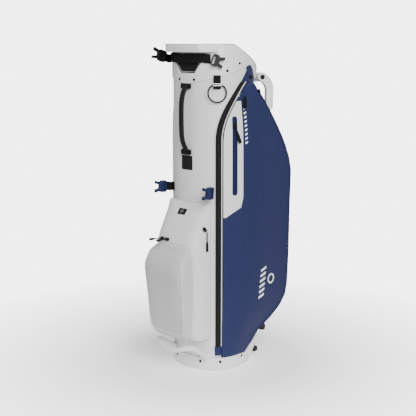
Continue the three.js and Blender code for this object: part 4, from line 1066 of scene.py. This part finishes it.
# ------------------------------------------------------------------ front pockets
def build_front_pockets():
    """The two stuffed pockets, the seams and zips on them, and the badge."""
    s = sewing()
    swell, piping, pitch = s.swell / MM, s.piping / MM, s.stitch_pitch / MM
    sewn_on = lambda p: 1 - smoothstep(tube_height(p), 2, 12)
    lower = swollen("lower_pocket", "lower_front_pocket", 4.0, swell * 0.5, sewn_on)
    ball = swollen("ball_pocket_bag", "ball_pocket", 3.4, swell * 0.35, lambda p: smoothstep(p[:, 1], -150, -144))
    # The ball pocket takes the greyer copy of the white cloth: painted shade on its face.
    for obj, node, finish in ((lower, "lower_front_pocket", "white_fabric"), (ball, "ball_pocket", "pocket_fabric")):
        points = points_of(obj)
        set_points(obj, points + read(obj.data, "normal") * folds(points, 17)[:, None] * s.fold / MM * 0.6)
        done(obj, finish, replaces=node)
    build_ball_seams(ball, piping, pitch)
    x = np.linspace(-66, 66, 90)
    place, normal = settled(np.stack([x, 0 * x - SIDE_ON, 0 * x + 364], -1), lower, 0.3)
    done(loft("ball_zip", swept_flat(place, normal, slab_section(6.0, 1.6, 0.6))), "white_fabric")
    for side, hand in ((1, "right"), (-1, "left")):
        place, normal = settled(tube(side * 45.5, np.linspace(110, 452, 120), 3.0), lower, 0.2)
        rings = swept_flat(respaced(place, 120), normal, round_section(piping))
        done(loft("lower_pocket_piping_" + hand, rings), "white_thread")
    z = np.linspace(375, 436, 60)
    place, normal = settled(np.stack([0 * z + 90, -101 + (398 - z) * 0.62, z], -1), lower, 0.3)
    done(loft("lower_zip", swept_flat(place, normal, slab_section(7.0, 1.6, 0.6))), "white_fabric")
    plain_nodes("pocket_badge", edge=0.5)
    points = points_of(frame["nodes"]["pocket_badge"])
    centre = (points.min(axis=0) + points.max(axis=0)) / 2
    up = unit((0, 0.7, 0.72))
    out = np.cross((1, 0, 0), up)
    done(circled("badge_ring", centre + out * 1.9, np.array((1, 0, 0)), up, 4.6, 0.6, 8, out), "bright_steel")


def build_ball_seams(ball, piping, pitch):
    """The piping and the stitches round the ball pocket's face: a squared circle, its sines raised to 0.35."""
    low, high = (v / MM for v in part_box("ball_pocket"))
    turn = np.linspace(0, 2 * np.pi, 220)
    wave = lambda v: np.sign(v) * np.abs(v) ** 0.35
    middle = (low[2] + high[2]) / 2
    x = wave(np.sin(turn)) * ((high[0] - low[0]) / 2 - 4.5)
    z = wave(np.cos(turn)) * (high[2] - low[2] - 20) / 2
    face = 0 * turn + low[1] + 4
    place, _ = settled(np.stack([x, face, middle + z], -1), ball, 0.1)
    line = respaced(place, 200)[:-1]
    _, normal = settled(line, ball, 0)
    rings = swept_flat(line, normal, round_section(piping * 1.15))
    done(loft("ball_pocket_piping", rings, True), "white_thread")
    place, normal = settled(np.stack([x * 0.93, face, middle + z * 0.95], -1), ball, 0.1)
    done(stitches("ball_pocket_stitches", place, normal, pitch), "white_thread")


# ------------------------------------------------------------------ collar, base and inside
def build_collar():
    """The moulded collar with its edge line and rivets, and the strap plate in its window."""
    collar = refined("collar_skin", "top_collar", 0.9, 40)
    done(collar, "white_moulded", replaces="top_collar")
    places = [(a, z, COLLAR_PROUD) for a, z in ((17, 781), (70, 804), (93, 822))]
    rim = np.linspace(44, 150, 60)
    line = [(-61, -88, 871.1), (-61, -103, 871.1), (0, -103.6, 871.1), (61, -103, 871.1), (61, -90, 871.1)]
    line = np.concatenate([respaced(line, 60), tube(rim, rim_height(rim) + 0.1, 1.2)])
    done(sweep("collar_edge", respaced(line, 160), round_section(0.7, 8), (0.1, 0.1, 1)), "grey_lining")
    done(rivets("collar_rivets", places + [(-a, z, g) for a, z, g in places]), "black_moulded")
    outline = [(-45.5, 847.5), (-51.5, 832), (-27.5, 797.5), (27.5, 797.5), (51.5, 832), (45.5, 847.5)]
    outline = rounded(outline, 4)
    plate = flat_part("strap_plate_skin", [outline], 5, 0.8, (0, -76.5, 0), (1, 0, 0), (0, 0, 1))
    done(plate, "charcoal_grip", replaces="strap_plate")
    middle = outline.mean(axis=0)
    line = middle + (outline - middle) * 0.9
    path = np.stack([line[:, 0], 0 * line[:, 0] - 79.1, line[:, 1]], -1)
    done(loft("strap_plate_line", swept(path, round_section(0.45, 6), (0, -1, 0)), True), "white_moulded")


def build_inside():
    """The dividers and the two stays."""
    plain_nodes("divider_top", edge=1.4)
    plain_nodes("divider_walls", edge=0)
    for side in ("right", "left"):
        rod = turned("stay_rod_skin_" + side, "stay_rod_" + side, 20, 0.4)
        done(rod, "black_metal", replaces="stay_rod_" + side)


def build_base():
    """The base cup, its grab loop and rivets, and the foot with its heel in two halves clear of the rod."""
    for node in ("base_cup", "base_handle"):
        done(refined(node + "_skin", node, 0.9, 40), "white_moulded", replaces=node)
    places = [(a, z, 4.0) for a, z in ((28, 26), (60, 27), (101, 30))]
    done(rivets("base_rivets", places + [(-a, z, g) for a, z, g in places]), "black_moulded")
    plain_nodes("base_foot", body="foot", edge=0.8)
    half = rounded([(10, -6), (58, -6), (56, 12), (38, 18), (10, 18)], 5)
    heel = flat_part("foot_heel", [half, half * (-1, 1)], 11, 2.0, (0, 134, 7), (1, 0, 0), (0, 1, 0))
    done(heel, "black_rubber", "foot")


# ------------------------------------------------------------------ stand
def build_stand():
    """The bracket, the legs and the rod with its yoke and bow wires."""
    plain_nodes("leg_bracket", "rod_guide", edge=0.8)
    plain_nodes("rod_yoke", body="push_rod", edge=0.6)
    done(turned("push_rod_skin", "push_rod", 24), "bright_steel", "push_rod", replaces="push_rod")
    for side in ("right", "left"):
        leg = "leg_" + side
        plain_nodes("leg_hub_" + side, body=leg, edge=0.9)
        for part, sides, lip, finish in (("leg_tube_", 32, 0.5, "black_metal"), ("leg_tip_", 36, 1.0, "black_rubber")):
            piece = turned(part + "skin_" + side, part + side, sides, lip)
            done(piece, finish, leg, replaces=part + side)
        plain_nodes("bow_wire_" + side, body="bow_" + side, edge=0, angle=60)
        plain_nodes("pivot_screw_" + side, edge=0.5)


# ------------------------------------------------------------------ straps, handle, rings and pads
def build_straps():
    """The collar's strap, the two stubs at mid-height, the ring, the handle and the hip pad."""
    angle = np.linspace(-58, 45, 120)
    dip = smoothstep(angle, 30, 45) * -2
    path = tube(angle, 836 + dip, 4.6)
    sleeve = sweep("strap_sleeve", path, slab_section(24, 3.4, 1.5, 4), (0, 0, 1))
    done(sleeve, "black_webbing", replaces="top_strap")
    root = tube(-56, 833, 4.8)
    path = curve([root, root + (-3, -8, 0), root + (-2, -19, 3)], 20)
    done(sweep("strap_stub", path, slab_section(22, 2, 0.5), (0, 0, 1)), "black_webbing")
    for label, height in (("low", 827), ("high", 845)):
        line = tube(angle[4:-4], height + dip[4:-4], 6.2)
        thread = stitches("strap_stitches_" + label, line, unit(line * (1, 1, 0)), sewing().stitch_pitch / MM)
        done(thread, "black_cord")
    start = tube(49, 492, 2.2)
    path = [tube(42, 492, 2.2), tube(45.5, 492, 2.2), start, start + (2.6, -6, 0), (86, start[1] - 14, 492)]
    strap = sweep("pocket_strap_right", curve(path, 40), slab_section(24, 2, 0.5), (0, 0, 1))
    done_pair(strap, "black_webbing", replaces="mid_strap_right")
    build_ring()
    build_handle()
    pad = swollen("hip_pad_bag", "hip_pad", 3.4, 3.0, lambda p: 1 - smoothstep(tube_height(p), 1.5, 6))
    done(pad, "black_padding", replaces="hip_pad")


def build_ring():
    """The webbing loop at the collar's right, its two bars and the ring in it."""
    at = lambda z, out: tube(54.5, z, out)
    along = unit((-at(0, 0)[1], at(0, 0)[0], 0))
    loop = [(793, 4.2), (784, 4.4), (776, 5.6), (772, 9), (768, 10), (762, 9.4), (759, 6.6), (761, 3.6), (768, 2.6)]
    webbing = sweep("ring_webbing", curve([at(*p) for p in loop], 50), slab_section(19, 1.6, 0.4), along)
    done(webbing, "black_webbing", replaces="towel_loop")
    foot = at(748, 6.4) * (1, 1, 0) + unit(at(0, 0) * (1, 1, 0)) * 4.6
    for label, z in (("high", 771.5), ("low", 766.8)):
        bar = foot + (0, 0, z) + np.linspace(-12.5, 12.5, 12)[:, None] * along
        done(sweep("ring_slider_" + label, bar, slab_section(2.4, 1.8, 0.6), (0, 0, 1)), "bright_steel")
    ring = refined("towel_ring_skin", "towel_ring", 0.3, 60)
    done(ring, "black_moulded", "towel_ring", replaces="towel_ring")


def build_handle():
    """The grab handle on the spine with its two end plates, and the patch under it."""
    front = -TUBE_FRONT
    spine = [(4.4, 767), (8, 759), (17.2, 739), (21, 711), (21, 652), (17.2, 624), (8, 604), (4.4, 596)]
    path = curve([(0, front - out, z) for out, z in spine], 90)
    grip = sweep("handle_grip", path, slab_section(14, 7, 2.6, 5), (1, 0, 0))
    done(grip, "charcoal_grip", replaces="spine_handle")
    for label, z in (("top", 764), ("low", 593)):
        outline = rounded([(-17.5, -7), (17.5, -7), (17.5, 7), (-17.5, 7)], 5)
        plate = flat_part("handle_plate_" + label, [outline], 5.6, 1.4, (0, front - 4.2, z), (1, 0, 0), (0, 0, 1))
        done(plate, "black_moulded")
    patch = sewn("spine_patch_skin", "spine_patch", 4.0, 0.1, 19)
    done(patch, "charcoal_grip", replaces="spine_patch")
    frame_line = rounded([(-12, -13), (12, -13), (12, 13), (-12, 13)], 3)
    path = np.stack([frame_line[:, 0], 0 * frame_line[:, 0] - SIDE_ON, 564.5 + frame_line[:, 1]], -1)
    place, normal = cast(path, patch, 0.1, (0, 1, 0))
    line = loft("spine_patch_line", swept_flat(place, normal, round_section(0.45, 6)), True)
    done(line, "black_cord")


# ------------------------------------------------------------------ sliders, pulls and buckles
def build_small_parts():
    """Every slider, pull and buckle half, each on its own body."""
    small = {
        "valuables_slider", "valuables_pull", "ball_slider_left", "ball_slider_right", "lower_slider",
        "main_pull_right", "main_pull_left", "top_buckle_left", "top_buckle_right",
    }
    for node in sorted(small):
        plain_nodes(node, body=node, edge=0.45, angle=30)
    for node in ("ball_pull_left", "ball_pull_right", "lower_pull"):
        done(tassel(node + "_skin", node), "black_moulded", node, replaces=node)
    axis = np.array((0, -1.0, 0))
    u = unit(np.cross(axis, (0, 0, 1)))
    ring = circled("lower_pull_loop", (78, -93, 391.5), u, np.cross(axis, u), 4.2, 0.75, 10, axis)
    done(ring, "bright_steel", "lower_pull")
    for side in ("right", "left"):
        plain_nodes("mid_buckle_" + side, body="mid_buckle_" + side, edge=0.9, angle=30, finish="navy_moulded")


def tassel(name, node):
    """A pull as a thin cord that swells into a long moulded end, along the node's own long axis."""
    points = points_of(frame["nodes"][node])
    centre = (points.min(axis=0) + points.max(axis=0)) / 2
    axis = np.linalg.svd(points - points.mean(axis=0), full_matrices=False)[2][0]
    axis = -axis if (axis[2] > 0.5 or axis[1] > 0.5) else axis
    reach = np.abs((points - centre) @ axis).max()
    t = np.linspace(-1, 1, 40)
    radius = 1.4 + 1.6 * smoothstep(t, -0.1, 0.15) + 0.5 * smoothstep(t, 0.1, 0.9)
    profile = [(0, -reach), *zip(radius, t * (reach - 0.6)), (radius[-1] * 0.7, reach), (0, reach)]
    return lathe(name, profile, centre, axis, 16)


# ------------------------------------------------------------------ stage
def area_light(name, place, target, size, power):
    """A square lamp at a place, turned to face its target."""
    data = bpy.data.lights.new(name, "AREA")
    data.shape, data.size, data.size_y, data.energy = "RECTANGLE", size, size, power
    lamp = linked(name, data)
    lamp.location = place
    x, y, z = np.asarray(target, float) - place
    lamp.rotation_euler = (math.atan2(math.hypot(x, y), -z), 0, math.atan2(y, x) - math.pi / 2)


def build_stage():
    """The camera, the fading floor, two soft lamps and an even light that is brighter to the camera alone."""
    s = bpy.context.scene.bag_stage
    turn, tilt, away = math.radians(43), math.atan(168 / 900), 2.41
    data = bpy.data.cameras.new("view")
    data.sensor_width, data.lens, data.shift_x = 36, 77.9, -0.0029
    camera = linked("view", data)
    camera.location = (math.sin(turn) * away, -math.cos(turn) * away, 0.881)
    camera.rotation_euler = (math.pi / 2 - tilt, 0, turn)
    bpy.context.scene.camera = camera
    t = np.linspace(-FLOOR_HALF, FLOOR_HALF, 3)
    x, y = np.meshgrid(t, t)
    floor = new_object("floor", np.stack([x, y, 0 * x], -1), grid_faces(3, 3))
    pale = Finish("pale_floor")
    across, along, _ = pale.axes()
    far = (across * across + along * along) ** 0.5
    shown = ((0.95 - far) * 1.4).held()
    tone = pale.close((0.9, 0.9, 0.9), 0.9, Emission_Color=(1.0, 1.0, 1.0, 1.0), Emission_Strength=0.5, Alpha=shown)
    floor.data.materials.append(tone)
    middle = (0, 0, 0.45)
    area_light("key", (2.6, -1.5, 2.2), middle, 2.2, s.key)
    area_light("fill", (-1.6, -2.2, 1.8), middle, 1.8, s.fill)
    world = bpy.data.worlds.new("even_light")
    world.use_nodes = True
    tree = world.node_tree
    back = tree.nodes["Background"]
    back.inputs[0].default_value = (1, 1, 1, 1)
    seen, gain = tree.nodes.new("ShaderNodeLightPath"), tree.nodes.new("ShaderNodeMath")
    gain.operation = "MULTIPLY_ADD"
    gain.inputs[1].default_value, gain.inputs[2].default_value = s.backdrop, s.sky
    tree.links.new(seen.outputs["Is Camera Ray"], gain.inputs[0])
    tree.links.new(gain.outputs[0], back.inputs[1])
    bpy.context.scene.world = world


# ------------------------------------------------------------------ add-on
class BAG_OT_finishes(bpy.types.Operator):
    """Makes every material"""

    bl_idname = "bag.finishes"
    bl_label = "Materials"

    def execute(self, context):
        make_finishes(context.scene.bag_colours)
        return {"FINISHED"}


class BAG_OT_walls(bpy.types.Operator):
    """Builds the tube's cloth walls and the two zip bands"""

    bl_idname = "bag.walls"
    bl_label = "Tube walls"

    def execute(self, context):
        build_walls()
        return {"FINISHED"}


class BAG_OT_side_pockets(bpy.types.Operator):
    """Builds the garment pockets and the accessory panel"""

    bl_idname = "bag.side_pockets"
    bl_label = "Garment pockets"

    def execute(self, context):
        build_side_pockets()
        return {"FINISHED"}


class BAG_OT_front_pockets(bpy.types.Operator):
    """Builds the ball pocket and the pocket behind it"""

    bl_idname = "bag.front_pockets"
    bl_label = "Front pockets"

    def execute(self, context):
        build_front_pockets()
        return {"FINISHED"}


class BAG_OT_collar(bpy.types.Operator):
    """Builds the collar, its rivets and the strap plate"""

    bl_idname = "bag.collar"
    bl_label = "Collar"

    def execute(self, context):
        build_collar()
        return {"FINISHED"}


class BAG_OT_inside(bpy.types.Operator):
    """Builds the dividers and the stay rods"""

    bl_idname = "bag.inside"
    bl_label = "Dividers"

    def execute(self, context):
        build_inside()
        return {"FINISHED"}


class BAG_OT_base(bpy.types.Operator):
    """Builds the base cup, its grab loop and the foot"""

    bl_idname = "bag.base"
    bl_label = "Base"

    def execute(self, context):
        build_base()
        return {"FINISHED"}


class BAG_OT_stand(bpy.types.Operator):
    """Builds the legs and the rod that pushes them out"""

    bl_idname = "bag.stand"
    bl_label = "Stand"

    def execute(self, context):
        build_stand()
        return {"FINISHED"}


class BAG_OT_straps(bpy.types.Operator):
    """Builds the straps, the handle, the towel ring and the pad"""

    bl_idname = "bag.straps"
    bl_label = "Straps and handle"

    def execute(self, context):
        build_straps()
        return {"FINISHED"}


class BAG_OT_small_parts(bpy.types.Operator):
    """Builds the sliders, pulls and buckles"""

    bl_idname = "bag.small_parts"
    bl_label = "Pulls and buckles"

    def execute(self, context):
        build_small_parts()
        return {"FINISHED"}


class BAG_OT_stage(bpy.types.Operator):
    """Builds the floor, the lights and the camera"""

    bl_idname = "bag.stage"
    bl_label = "Stage"

    def execute(self, context):
        build_stage()
        return {"FINISHED"}


OPERATORS = (
    BAG_OT_finishes, BAG_OT_stage, BAG_OT_walls, BAG_OT_side_pockets, BAG_OT_front_pockets, BAG_OT_collar,
    BAG_OT_inside, BAG_OT_base, BAG_OT_stand, BAG_OT_straps, BAG_OT_small_parts,
)


class BAG_PT_panel(bpy.types.Panel):
    """Settings and builders of the golf bag"""

    bl_label = "Golf bag"
    bl_space_type = "VIEW_3D"
    bl_region_type = "UI"
    bl_category = "Golf bag"

    def draw(self, context):
        for group in (context.scene.bag_colours, context.scene.bag_sewing, context.scene.bag_stage):
            box = self.layout.box()
            for key in group.__annotations__:
                box.prop(group, key)
        for operator in OPERATORS:
            self.layout.operator(operator.bl_idname)


CLASSES = (BagColours, BagSewing, BagStage, *OPERATORS, BAG_PT_panel)
SETTINGS = {"bag_colours": BagColours, "bag_sewing": BagSewing, "bag_stage": BagStage}


def register():
    """Registers the classes and gives each scene its settings."""
    for cls in CLASSES:
        bpy.utils.register_class(cls)
    for name, group in SETTINGS.items():
        setattr(bpy.types.Scene, name, bpy.props.PointerProperty(type=group))


def unregister():
    """Takes the settings and the classes away again."""
    for name in SETTINGS:
        delattr(bpy.types.Scene, name)
    for cls in reversed(CLASSES):
        bpy.utils.unregister_class(cls)


def main():
    """Builds every piece in order."""
    register()
    for operator in OPERATORS:
        group, name = operator.bl_idname.split(".")
        getattr(getattr(bpy.ops, group), name)()


if __name__ == "__main__":
    main()
